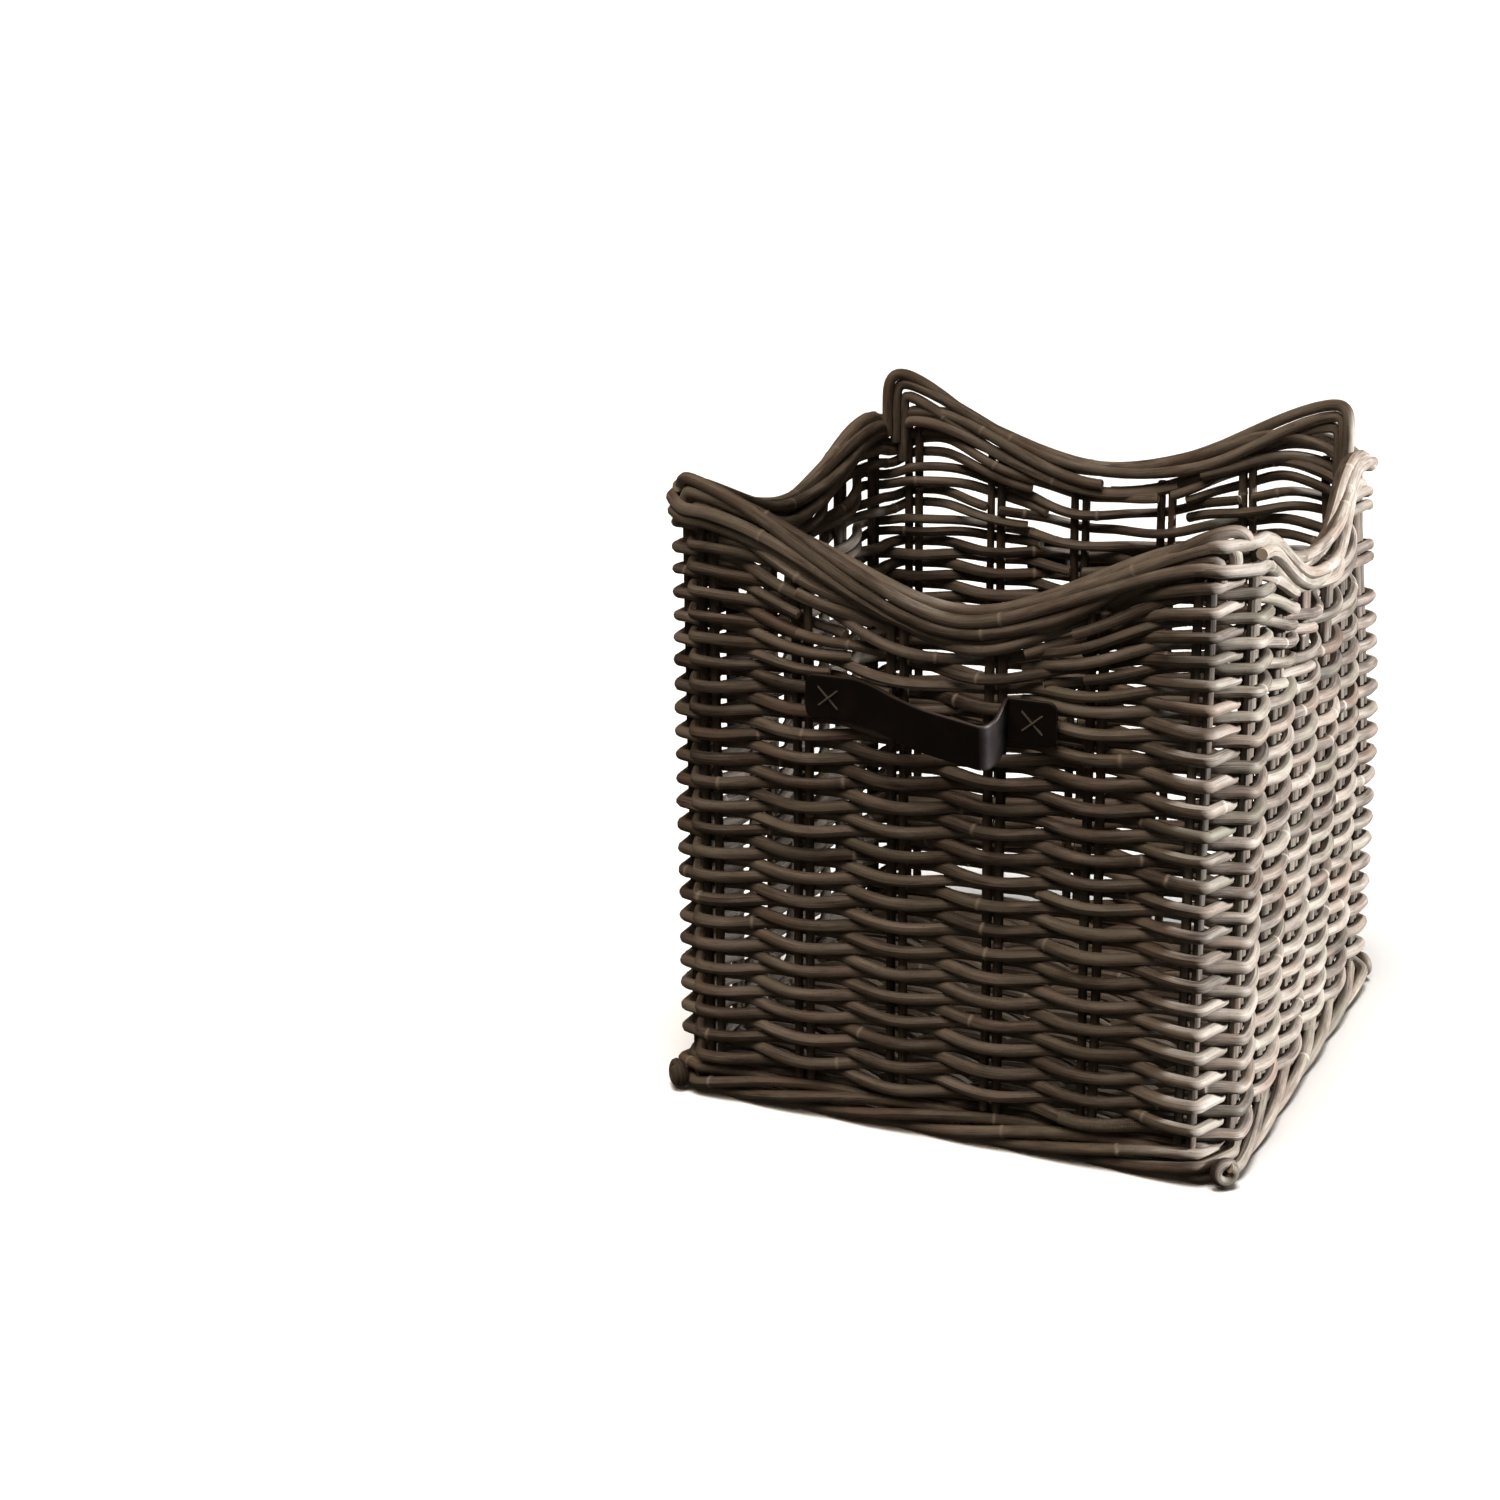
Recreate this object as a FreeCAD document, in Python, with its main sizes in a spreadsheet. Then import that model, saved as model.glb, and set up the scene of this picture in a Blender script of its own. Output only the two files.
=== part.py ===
"""Square woven rattan log basket with a dipped rim and two leather strap handles.

Millimetres, +Z up, origin on the floor under the middle of the basket. The front face is at -Y.
Woven pieces are closed solids of their true outer shape, with channels where the stakes run
through them. Stakes and base sticks are round rods in pairs.
"""
import FreeCAD, Part
import math
import os

import Sketcher

Vector = FreeCAD.Vector
UP = Vector(0, 0, 1)

SIZES = {
    # whole basket
    "half_width": 250.0,
    "half_depth": 240.0,
    "ear_top": 543.0,
    "wall": 25.0,
    "corner_cut": 32.5,
    # dipped rim: a round dip in the middle and a straight slope up to each corner
    "dip_radius": 254.0,
    "front_dip": 458.0,
    "front_slope": 24.0,
    "back_dip": 470.0,
    "back_slope": 21.5,
    "side_dip": 475.0,
    "side_slope": 20.0,
    "rim_height": 36.0,
    "ear_bottom": 494.0,
    # foot border that stands on the floor, a little proud of the walls
    "foot_overhang": 5.0,
    "foot_thick": 32.0,
    "foot_tall": 28.0,
    "foot_bevel": 8.0,
    # paired stakes in the walls, paired sticks in the base
    "rod_radius": 4.0,
    "rod_gap": 2.5,
    "stake_pitch": 83.0,
    "side_stake_pitch": 79.0,
    "channel_clearance": 0.3,
    "stake_foot": 29.0,
    "base_bottom": 8.0,
    "base_thick": 17.0,
    "stick_pitch": 74.0,
    # leather handle
    "strap_width": 38.0,
    "strap_thick": 3.2,
    "strap_reach": 37.0,
    "handle_height": 375.0,
    "tab_length": 40.0,
    "handle_half_span": 106.5,
    "handle_shift": -8.5,
    "bow_middle": 20.0,
    "tab_corner": 8.0,
    "pivot_stand_off": 8.0,
    "flex_radius": 22.0,
    "flex_gap": 0.4,
    "droop": 15.0,
    # crossed stitches on each tab
    "stitch_length": 27.0,
    "stitch_wide": 2.0,
    "stitch_proud": 1.4,
}

PAIRS = 6

doc = FreeCAD.newDocument("LogBasket")
sheet = doc.addObject("Spreadsheet::Sheet", "Sizes")
for row, (alias, value) in enumerate(SIZES.items(), start=1):
    sheet.set(f"A{row}", alias)
    sheet.set(f"B{row}", str(value))
    sheet.setAlias(f"B{row}", alias)
doc.recompute()

parts = []


def size(alias):
    """A driving dimension, read from the sheet."""
    return float(sheet.get(alias))


def cells(expression):
    """Turn every sheet alias in a formula into a reference to its cell."""
    for alias in sorted(SIZES, key=len, reverse=True):
        expression = expression.replace(f"[{alias}]", f"Sizes.{alias}")
    return expression


def bind(thing, prop, expression):
    """Bind a property to a formula of sheet aliases written in square brackets."""
    thing.setExpression(prop, cells(expression))


def plane_of(body, role):
    """One of a body's own origin planes."""
    for feature in body.Origin.OriginFeatures:
        if feature.Role == role:
            return feature
    raise ValueError(role)


def new_sketch(body, name, role):
    """An empty sketch on an origin plane of its body."""
    sketch = body.newObject("Sketcher::SketchObject", name)
    sketch.AttachmentSupport = (plane_of(body, role), [""])
    sketch.MapMode = "FlatFace"
    return sketch


def hold(sketch, kind, where, expression):
    """Hold one coordinate of a sketch vertex at a formula of the sheet."""
    value = float(sketch.evalExpression(cells(expression)))
    if abs(value) < 1e-9:
        axis = -2 if kind == "DistanceX" else -1
        sketch.addConstraint(Sketcher.Constraint("PointOnObject", *where, axis))
        return
    if value > 0:
        constraint = Sketcher.Constraint(kind, -1, 1, *where, value)
    else:
        constraint = Sketcher.Constraint(kind, *where, -1, 1, -value)
        expression = f"-({expression})"
    index = sketch.addConstraint(constraint)
    bind(sketch, f"Constraints[{index}]", expression)


def polygon(sketch, corners):
    """Add a closed polygon whose corners are pairs of formulas."""
    values = [[float(sketch.evalExpression(cells(text))) for text in corner] for corner in corners]
    first = sketch.GeometryCount
    count = len(corners)
    for i, (x, y) in enumerate(values):
        after = values[(i + 1) % count]
        sketch.addGeometry(Part.LineSegment(Vector(x, y, 0), Vector(after[0], after[1], 0)))
    for i, (x_text, y_text) in enumerate(corners):
        before = first + (i - 1) % count
        sketch.addConstraint(Sketcher.Constraint("Coincident", before, 2, first + i, 1))
        hold(sketch, "DistanceX", (first + i, 1), x_text)
        hold(sketch, "DistanceY", (first + i, 1), y_text)


def pad(body, sketch, length):
    """Pad a sketch equally to both sides of its plane."""
    feature = body.newObject("PartDesign::Pad", f"{body.Name}_pad")
    feature.Profile = sketch
    feature.Midplane = True
    bind(feature, "Length", length)
    return feature


def stand_up(body, sketch, bottom, length):
    """Pad a plan sketch upwards, with the body lifted to the height of its underside."""
    feature = body.newObject("PartDesign::Pad", f"{body.Name}_pad")
    feature.Profile = sketch
    bind(feature, "Length", length)
    bind(body, "Placement.Base.z", bottom)
    return feature


def channels(body, plane, centre, pitch, half_high):
    """Cut a row of channels for paired rods right through a woven panel."""
    half_wide = "([rod_gap] / 2 + 2 * [rod_radius] + [channel_clearance])"
    start = f"({centre[0]}) - {(PAIRS - 1) / 2} * {pitch}"
    sketch = new_sketch(body, f"{body.Name}_channel", plane)
    polygon(sketch, [
        (f"{start} - {half_wide}", f"({centre[1]}) - {half_high}"),
        (f"{start} + {half_wide}", f"({centre[1]}) - {half_high}"),
        (f"{start} + {half_wide}", f"({centre[1]}) + {half_high}"),
        (f"{start} - {half_wide}", f"({centre[1]}) + {half_high}"),
    ])
    pocket = body.newObject("PartDesign::Pocket", f"{body.Name}_pocket")
    pocket.Profile = sketch
    pocket.Type = "ThroughAll"
    pocket.Midplane = True
    row_of = body.newObject("PartDesign::LinearPattern", f"{body.Name}_row")
    row_of.Originals = [pocket]
    row_of.Direction = (sketch, ["H_Axis"])
    row_of.Occurrences = PAIRS
    bind(row_of, "Length", f"{PAIRS - 1} * {pitch}")
    body.Tip = row_of


def place(thing, turn, outward=None):
    """Turn a piece about +Z and move it out from the middle of the basket."""
    thing.Placement = FreeCAD.Placement(thing.Placement.Base, FreeCAD.Rotation(UP, turn))
    if outward:
        direction = FreeCAD.Rotation(UP, turn).multVec(Vector(0, -1, 0))
        bind(thing, "Placement.Base.x", f"{round(direction.x)} * ({outward})")
        bind(thing, "Placement.Base.y", f"{round(direction.y)} * ({outward})")


def keep(thing, label):
    """Name a finished sub-part and put it on the list of those written out."""
    thing.Label = label
    parts.append(thing)


class Side:
    """One face of the basket: where it stands and the shape of its rim."""

    def __init__(self, name, turn, outward, along, dip, slope, pitch):
        self.name = name
        self.pitch = pitch
        self.turn = turn
        self.outward = outward
        self.half_span = f"({along} - [corner_cut])"
        self.dip = dip
        self.slope = slope

    def rim_at(self, u):
        """Formula for the height of the rim's top, a distance u from the middle."""
        if u < size("dip_radius") * math.sin(math.radians(size(self.slope[1:-1]))):
            return f"({self.dip} + [dip_radius] - sqrt([dip_radius]^2 - {u}^2))"
        return (f"({self.dip} + [dip_radius] - [dip_radius] / cos({self.slope})"
                f" + {u} * tan({self.slope}))")


SIDES = [
    Side("front", 0, "[half_depth]", "[half_width]", "[front_dip]", "[front_slope]", "[stake_pitch]"),
    Side("right", 90, "[half_width]", "[half_depth]", "[side_dip]", "[side_slope]", "[side_stake_pitch]"),
    Side("back", 180, "[half_depth]", "[half_width]", "[back_dip]", "[back_slope]", "[stake_pitch]"),
    Side("left", 270, "[half_width]", "[half_depth]", "[side_dip]", "[side_slope]", "[side_stake_pitch]"),
]


def scallop(sketch, side, lower):
    """Add a dipped line to a sketch: left slope, round dip, right slope. Returns its three ids."""
    radius = size("dip_radius")
    slope = math.radians(float(sketch.evalExpression(cells(side.slope))))
    half = float(sketch.evalExpression(cells(side.half_span)))
    middle = float(sketch.evalExpression(cells(f"{side.dip} - {lower} + [dip_radius]")))
    turn_x = radius * math.sin(slope)
    turn_y = middle - radius * math.cos(slope)
    end_y = turn_y + (half - turn_x) * math.tan(slope)
    circle = Part.Circle(Vector(0, middle, 0), UP, radius)
    down = 1.5 * math.pi
    dip = sketch.addGeometry(Part.ArcOfCircle(circle, down - slope, down + slope))
    right = sketch.addGeometry(Part.LineSegment(Vector(turn_x, turn_y, 0), Vector(half, end_y, 0)))
    left = sketch.addGeometry(Part.LineSegment(Vector(-turn_x, turn_y, 0), Vector(-half, end_y, 0)))
    sketch.addConstraint(Sketcher.Constraint("Tangent", right, 1, dip, 2))
    sketch.addConstraint(Sketcher.Constraint("Tangent", left, 1, dip, 1))
    sketch.addConstraint(Sketcher.Constraint("PointOnObject", dip, 3, -2))
    held = sketch.addConstraint(Sketcher.Constraint("Radius", dip, radius))
    bind(sketch, f"Constraints[{held}]", "[dip_radius]")
    held = sketch.addConstraint(Sketcher.Constraint("DistanceY", -1, 1, dip, 3, middle))
    bind(sketch, f"Constraints[{held}]", f"{side.dip} - {lower} + [dip_radius]")
    held = sketch.addConstraint(Sketcher.Constraint("Angle", right, slope))
    bind(sketch, f"Constraints[{held}]", side.slope)
    held = sketch.addConstraint(Sketcher.Constraint("Angle", left, math.pi - slope))
    bind(sketch, f"Constraints[{held}]", f"180 - {side.slope}")
    hold(sketch, "DistanceX", (right, 2), side.half_span)
    hold(sketch, "DistanceX", (left, 2), f"-{side.half_span}")
    return left, dip, right


def join(sketch, one, one_end, other, other_end):
    """Close the outline between the ends of two scallop lines with an upright line."""
    start = sketch.getPoint(one, one_end)
    end = sketch.getPoint(other, other_end)
    line = sketch.addGeometry(Part.LineSegment(start, end))
    sketch.addConstraint(Sketcher.Constraint("Coincident", line, 1, one, one_end))
    sketch.addConstraint(Sketcher.Constraint("Coincident", line, 2, other, other_end))


def rim(side):
    """Border bundle of one side: a band that follows the dip."""
    body = doc.addObject("PartDesign::Body", f"{side.name}_rim_body")
    sketch = new_sketch(body, f"{side.name}_rim_outline", "XZ_Plane")
    top = scallop(sketch, side, "0")
    bottom = scallop(sketch, side, "[rim_height]")
    join(sketch, top[0], 2, bottom[0], 2)
    join(sketch, top[2], 2, bottom[2], 2)
    pad(body, sketch, "[wall]")
    place(body, side.turn, f"{side.outward} - [wall] / 2")
    keep(body, f"{side.name}_rim_border")


def wall(side):
    """Woven siding of one side, between the foot and the rim, with six stake channels."""
    body = doc.addObject("PartDesign::Body", f"{side.name}_wall_body")
    sketch = new_sketch(body, f"{side.name}_wall_outline", "XZ_Plane")
    left, dip, right = scallop(sketch, side, "[rim_height]")
    half = float(sketch.evalExpression(cells(side.half_span)))
    low = size("foot_tall")
    outline = [sketch.getPoint(left, 2), Vector(-half, low, 0), Vector(half, low, 0), sketch.getPoint(right, 2)]
    lines = [sketch.addGeometry(Part.LineSegment(a, b)) for a, b in zip(outline, outline[1:])]
    sketch.addConstraint(Sketcher.Constraint("Coincident", lines[0], 1, left, 2))
    sketch.addConstraint(Sketcher.Constraint("Coincident", lines[0], 2, lines[1], 1))
    sketch.addConstraint(Sketcher.Constraint("Coincident", lines[1], 2, lines[2], 1))
    sketch.addConstraint(Sketcher.Constraint("Coincident", lines[2], 2, right, 2))
    sketch.addConstraint(Sketcher.Constraint("Vertical", lines[0]))
    sketch.addConstraint(Sketcher.Constraint("Vertical", lines[2]))
    sketch.addConstraint(Sketcher.Constraint("Horizontal", lines[1]))
    hold(sketch, "DistanceY", (lines[1], 1), "[foot_tall]")
    pad(body, sketch, "[wall]")
    channels(body, "XY_Plane", ("0", "0"), side.pitch, "([rod_radius] + [channel_clearance])")
    place(body, side.turn, f"{side.outward} - [wall] / 2")
    keep(body, f"{side.name}_wall_weave")


def foot(side):
    """Foot border of one side: a bevelled bar of twined rods that stands on the floor."""
    body = doc.addObject("PartDesign::Body", f"{side.name}_foot_body")
    sketch = new_sketch(body, f"{side.name}_foot_section", "YZ_Plane")
    polygon(sketch, [
        ("0", "[foot_bevel]"),
        ("[foot_bevel]", "0"),
        ("[foot_thick]", "0"),
        ("[foot_thick]", "[foot_tall]"),
        ("[foot_overhang]", "[foot_tall]"),
        ("0", "[foot_tall] - [foot_overhang]"),
    ])
    pad(body, sketch, f"2 * {side.half_span}")
    place(body, side.turn, f"{side.outward} + [foot_overhang]")
    keep(body, f"{side.name}_foot_border")


def stakes(side):
    """Paired upright rods of one side, each pair a sub-part of two solids."""
    for number in range(1, PAIRS + 1):
        step = number - (PAIRS + 1) / 2
        centre = f"({step} * {side.pitch})"
        inner = abs(step) * size(side.pitch[1:-1]) - size("rod_gap") / 2 - 2 * size("rod_radius")
        top = f"{side.rim_at(round(inner, 3))} - [rim_height]"
        rods = []
        for hand in (-1, 1):
            rod = doc.addObject("Part::Cylinder", f"{side.name}_rod")
            bind(rod, "Radius", "[rod_radius]")
            bind(rod, "Height", f"{top} - [channel_clearance] - [stake_foot]")
            bind(rod, "Placement.Base.x", f"{centre} + {hand} * ([rod_gap] / 2 + [rod_radius])")
            bind(rod, "Placement.Base.z", "[stake_foot]")
            rods.append(rod)
        pair = doc.addObject("Part::Fuse", f"{side.name}_stakes_{number}")
        pair.Base, pair.Tool = rods
        place(pair, side.turn, f"{side.outward} - [wall] / 2")
        keep(pair, f"{side.name}_stake_pair_{number}")


# corners, named anticlockwise from the front left, each turned a further quarter
CORNERS = [("front_left", -1, -1), ("front_right", 1, -1), ("back_right", 1, 1), ("back_left", -1, 1)]


def corner_block(label, corner, turn, grow, bottom, top, plan):
    """A corner piece, drawn in plan from the corner's own outermost point."""
    name, x_sign, y_sign = corner
    body = doc.addObject("PartDesign::Body", f"{name}_{label}_body")
    sketch = new_sketch(body, f"{name}_{label}_plan", "XY_Plane")
    polygon(sketch, plan)
    stand_up(body, sketch, bottom, f"{top} - ({bottom})")
    body.Placement = FreeCAD.Placement(body.Placement.Base, FreeCAD.Rotation(UP, turn))
    bind(body, "Placement.Base.x", f"{x_sign} * ([half_width] + {grow})")
    bind(body, "Placement.Base.y", f"{y_sign} * ([half_depth] + {grow})")
    keep(body, f"{name}_{label}")


def corners():
    """Corner weave, foot corner and raised rim ear at each of the four corners."""
    across = [
        ("[corner_cut]", "0"),
        ("[corner_cut]", "[wall]"),
        ("[wall]", "[corner_cut]"),
        ("0", "[corner_cut]"),
    ]
    foot_cut = "([corner_cut] + [foot_overhang])"
    under = [
        (foot_cut, "0"),
        (foot_cut, "[foot_thick]"),
        ("[foot_thick]", "[foot_thick]"),
        ("[foot_thick]", foot_cut),
        ("0", foot_cut),
    ]
    for quarter, corner in enumerate(CORNERS):
        turn = 90 * quarter
        corner_block("corner_weave", corner, turn, "0", "[foot_tall]", "[ear_bottom]", across)
        corner_block("rim_ear", corner, turn, "0", "[ear_bottom]", "[ear_top]", across)
        corner_block("foot_corner", corner, turn, "[foot_overhang]", "0", "[foot_tall]", under)


def base():
    """Woven base panel with channels front to back, and the paired sticks that lie in them."""
    inner_x = "([half_width] + [foot_overhang] - [foot_thick])"
    inner_y = "([half_depth] + [foot_overhang] - [foot_thick])"
    body = doc.addObject("PartDesign::Body", "base_body")
    sketch = new_sketch(body, "base_outline", "XY_Plane")
    polygon(sketch, [
        (f"-{inner_x}", f"-{inner_y}"),
        (inner_x, f"-{inner_y}"),
        (inner_x, inner_y),
        (f"-{inner_x}", inner_y),
    ])
    stand_up(body, sketch, "[base_bottom]", "[base_thick]")
    middle = ("0", "[base_thick] / 2")
    channels(body, "XZ_Plane", middle, "[stick_pitch]", "([rod_radius] + [channel_clearance])")
    keep(body, "base_weave")

    sticks = []
    for number in range(PAIRS):
        centre = f"({number - (PAIRS - 1) / 2} * [stick_pitch])"
        for hand in (-1, 1):
            stick = doc.addObject("Part::Cylinder", "base_stick")
            bind(stick, "Radius", "[rod_radius]")
            bind(stick, "Height", f"2 * {inner_y}")
            stick.Placement = FreeCAD.Placement(Vector(), FreeCAD.Rotation(Vector(1, 0, 0), 90))
            bind(stick, "Placement.Base.x", f"{centre} + {hand} * ([rod_gap] / 2 + [rod_radius])")
            bind(stick, "Placement.Base.y", inner_y)
            bind(stick, "Placement.Base.z", "[base_bottom] + [base_thick] / 2")
            sticks.append(stick)
    bundle = doc.addObject("Part::MultiFuse", "base_stick_bundle")
    bundle.Shapes = sticks
    keep(bundle, "base_stick_pairs")


def rounded_path(points, radii):
    """Straight runs joined by tangent arcs, as edges for a sketch."""
    edges = []
    start = points[0]
    for before, corner, after, radius in zip(points, points[1:], points[2:], radii):
        back = (before - corner).normalize()
        ahead = (after - corner).normalize()
        half_turn = (math.pi - back.getAngle(ahead)) / 2
        reach = radius * math.tan(half_turn)
        enter = corner + back * reach
        leave = corner + ahead * reach
        inward = (back + ahead).normalize()
        crown = corner + inward * (radius / math.cos(half_turn) - radius)
        edges.append(Part.LineSegment(start, enter))
        edges.append(Part.Arc(enter, crown, leave))
        start = leave
    edges.append(Part.LineSegment(start, points[-1]))
    return edges


def strap_line():
    """Wall-side line of the strap in plan: a long slope out on the left, a tight fold on the right."""
    half = size("handle_half_span")
    tab = size("tab_length")
    out = size("strap_reach") - size("strap_thick")
    points = [
        Vector(-half, 0, 0),
        Vector(-half + tab, 0, 0),
        Vector(0.25 * tab, -out, 0),
        Vector(half - 1.2 * tab, -out, 0),
        Vector(half - 1.05 * tab, 0, 0),
        Vector(half, 0, 0),
    ]
    shift = Vector(size("handle_shift"), 0, 0)
    return rounded_path([point + shift for point in points], [tab, 0.9 * tab, 0.2 * tab, 0.13 * tab])


def tab_corners(shape, tip):
    """The two short edges at the tip of a strap end, as (number, radius, radius) for a fillet."""
    radius = size("tab_corner")
    chosen = []
    for number, edge in enumerate(shape.Edges, start=1):
        box = edge.BoundBox
        if abs(box.XMin - tip) < 0.1 and abs(box.XMax - tip) < 0.1 and box.ZLength < 0.1:
            chosen.append((number, radius, radius))
    return chosen


def handle(name, turn):
    """A leather strap: two ends held to the wall, and the bow between them that swings."""
    line = doc.addObject("Sketcher::SketchObject", f"{name}_strap_line")
    for edge in strap_line():
        line.addGeometry(edge)
    skin = doc.addObject("Part::Offset2D", f"{name}_strap_plan")
    skin.Source = line
    skin.Mode = "Skin"
    skin.Fill = True
    bind(skin, "Value", "[strap_thick]")
    band = doc.addObject("Part::Extrusion", f"{name}_band")
    band.Base = skin
    band.DirMode = "Custom"
    band.Dir = UP
    band.Solid = True
    band.Symmetric = True
    bind(band, "LengthFwd", "[strap_width]")

    def pivot_cylinder(radius):
        """A cylinder on the line that the strap flexes about."""
        drum = doc.addObject("Part::Cylinder", f"{name}_flex")
        bind(drum, "Radius", radius)
        bind(drum, "Height", "4 * [handle_half_span]")
        drum.Placement = FreeCAD.Placement(Vector(), FreeCAD.Rotation(Vector(0, 1, 0), 90))
        bind(drum, "Placement.Base.x", "-2 * [handle_half_span]")
        bind(drum, "Placement.Base.y", "-[pivot_stand_off]")
        return drum

    bow = doc.addObject("Part::Cut", f"{name}_bow")
    bow.Base = band
    bow.Tool = pivot_cylinder("[flex_radius] + [flex_gap]")
    facing = FreeCAD.Rotation(UP, turn)
    drooped = facing.multiply(FreeCAD.Rotation(Vector(1, 0, 0), size("droop")))
    pivot = Vector(0, -size("pivot_stand_off"), 0)
    wall_face = facing.multVec(Vector(0, -size("half_depth"), 0)) + UP * size("handle_height")
    bow.Placement = FreeCAD.Placement(wall_face + facing.multVec(pivot) - drooped.multVec(pivot), drooped)
    keep(bow, f"{name}_handle_strap")

    for hand, side_name in ((-1, "left"), (1, "right")):
        half_box = doc.addObject("Part::Box", f"{name}_{side_name}_half")
        bind(half_box, "Length", "2 * [handle_half_span]")
        bind(half_box, "Width", "2 * [strap_reach]")
        bind(half_box, "Height", "2 * [strap_width]")
        bind(half_box, "Placement.Base.x", f"[handle_shift] + [bow_middle] + ({hand} - 1) * [handle_half_span]")
        bind(half_box, "Placement.Base.y", "-2 * [strap_reach]")
        bind(half_box, "Placement.Base.z", "-[strap_width]")
        inside = doc.addObject("Part::Common", f"{name}_{side_name}_inside")
        inside.Base = band
        inside.Tool = pivot_cylinder("[flex_radius]")
        square_end = doc.addObject("Part::Common", f"{name}_{side_name}_square_end")
        square_end.Base = inside
        square_end.Tool = half_box
        doc.recompute()
        end = doc.addObject("Part::Fillet", f"{name}_{side_name}_end")
        end.Base = square_end
        tip = size("handle_shift") + hand * size("handle_half_span")
        end.Edges = tab_corners(square_end.Shape, tip)
        bind(end, "Placement.Base.z", "[handle_height]")
        place(end, turn, "[half_depth]")
        keep(end, f"{name}_handle_{side_name}_end")

        arms = []
        for lean in (-45, 45):
            arm = doc.addObject("Part::Box", f"{name}_{side_name}_stitch_arm")
            bind(arm, "Length", "[stitch_length]")
            bind(arm, "Width", "[stitch_proud]")
            bind(arm, "Height", "[stitch_wide]")
            lie = FreeCAD.Rotation(Vector(0, 1, 0), lean)
            middle = Vector(size("stitch_length") / 2, size("stitch_proud"), size("stitch_wide") / 2)
            spot = Vector(tip - hand * size("tab_length") / 2, -size("strap_thick"), 0)
            arm.Placement = FreeCAD.Placement(spot - lie.multVec(middle), lie)
            arms.append(arm)
        stitch = doc.addObject("Part::Fuse", f"{name}_{side_name}_cross")
        stitch.Base, stitch.Tool = arms
        bind(stitch, "Placement.Base.z", "[handle_height]")
        place(stitch, turn, "[half_depth]")
        keep(stitch, f"{name}_handle_{side_name}_stitch")


base()
for one_side in SIDES:
    foot(one_side)
    wall(one_side)
    rim(one_side)
    stakes(one_side)
corners()
handle("front", 0)
handle("back", 180)
doc.recompute()

for thing in doc.Objects:
    if "Invalid" in thing.State or "Error" in thing.State:
        raise RuntimeError(f"{thing.Label} failed: {thing.State}")
for thing in parts:
    if thing.Shape.isNull() or not thing.Shape.isValid() or not thing.Shape.Solids:
        raise RuntimeError(f"{thing.Label} has no valid shape")

os.makedirs("parts", exist_ok=True)
for thing in parts:
    thing.Shape.exportStep(f"parts/{thing.Label}.step")
    box = thing.Shape.BoundBox
    print(f"{thing.Label:28s} solids {len(thing.Shape.Solids):2d} volume {thing.Shape.Volume:11.0f}"
          f"  x {box.XMin:7.1f} {box.XMax:7.1f}  y {box.YMin:7.1f} {box.YMax:7.1f}"
          f"  z {box.ZMin:6.1f} {box.ZMax:6.1f}")
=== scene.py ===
"""A square log basket woven from grey kubu cane, with two leather strap handles.

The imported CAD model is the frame: the stakes' places, the rim's dips and ears and the
handles' places are read from its nodes. Each sub-assembly is a class that builds and
dresses its own pieces. All lengths are in metres.
"""

import logging
import math
from dataclasses import dataclass, field
from enum import Enum

import bpy
import numpy as np
from mathutils import Matrix, Vector


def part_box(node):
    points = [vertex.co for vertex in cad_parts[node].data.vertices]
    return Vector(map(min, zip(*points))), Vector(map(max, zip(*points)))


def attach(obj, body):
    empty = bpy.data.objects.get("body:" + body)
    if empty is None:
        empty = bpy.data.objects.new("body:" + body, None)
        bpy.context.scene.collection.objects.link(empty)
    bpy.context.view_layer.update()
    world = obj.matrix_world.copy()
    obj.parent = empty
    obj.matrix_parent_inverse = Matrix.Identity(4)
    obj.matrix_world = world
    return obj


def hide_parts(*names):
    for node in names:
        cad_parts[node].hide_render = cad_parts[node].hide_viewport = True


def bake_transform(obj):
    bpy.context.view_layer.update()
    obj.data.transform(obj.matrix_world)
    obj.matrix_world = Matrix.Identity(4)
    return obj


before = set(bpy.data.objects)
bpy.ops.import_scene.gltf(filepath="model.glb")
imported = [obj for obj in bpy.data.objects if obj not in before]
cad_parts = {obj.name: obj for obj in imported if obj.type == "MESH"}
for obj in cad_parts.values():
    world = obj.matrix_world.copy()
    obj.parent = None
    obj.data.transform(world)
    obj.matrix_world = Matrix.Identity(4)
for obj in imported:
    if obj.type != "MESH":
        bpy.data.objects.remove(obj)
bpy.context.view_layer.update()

Array = np.ndarray
Rng = np.random.Generator
Node = bpy.types.Node
Tree = bpy.types.NodeTree
Thing = bpy.types.Object
LOG = logging.getLogger("basket")
MM = 0.001
CLOSE = 0.8 * MM
SIDE_STAKES = 6
STAKES = 24
TURN = 2 * math.pi


class Side(Enum):
    """The four walls, in the order the weaver passes them."""

    FRONT = "front"
    RIGHT = "right"
    BACK = "back"
    LEFT = "left"


class Slot(Enum):
    """The material slots."""

    WEAVE = "weave_cane"
    STAKE = "stake_cane"
    RIM = "rim_cane"
    FOOT = "foot_cane"
    LEATHER = "strap_leather"
    THREAD = "stitch_thread"


CORNERS = ("front_right", "back_right", "back_left", "front_left")
WALL_NODES = [f"{s.value}_wall_weave" for s in Side] + [f"{c}_corner_weave" for c in CORNERS]
RIM_NODES = [f"{s.value}_rim_border" for s in Side] + [f"{c}_rim_ear" for c in CORNERS]
FOOT_NODES = [f"{s.value}_foot_border" for s in Side] + [f"{c}_foot_corner" for c in CORNERS]


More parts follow.
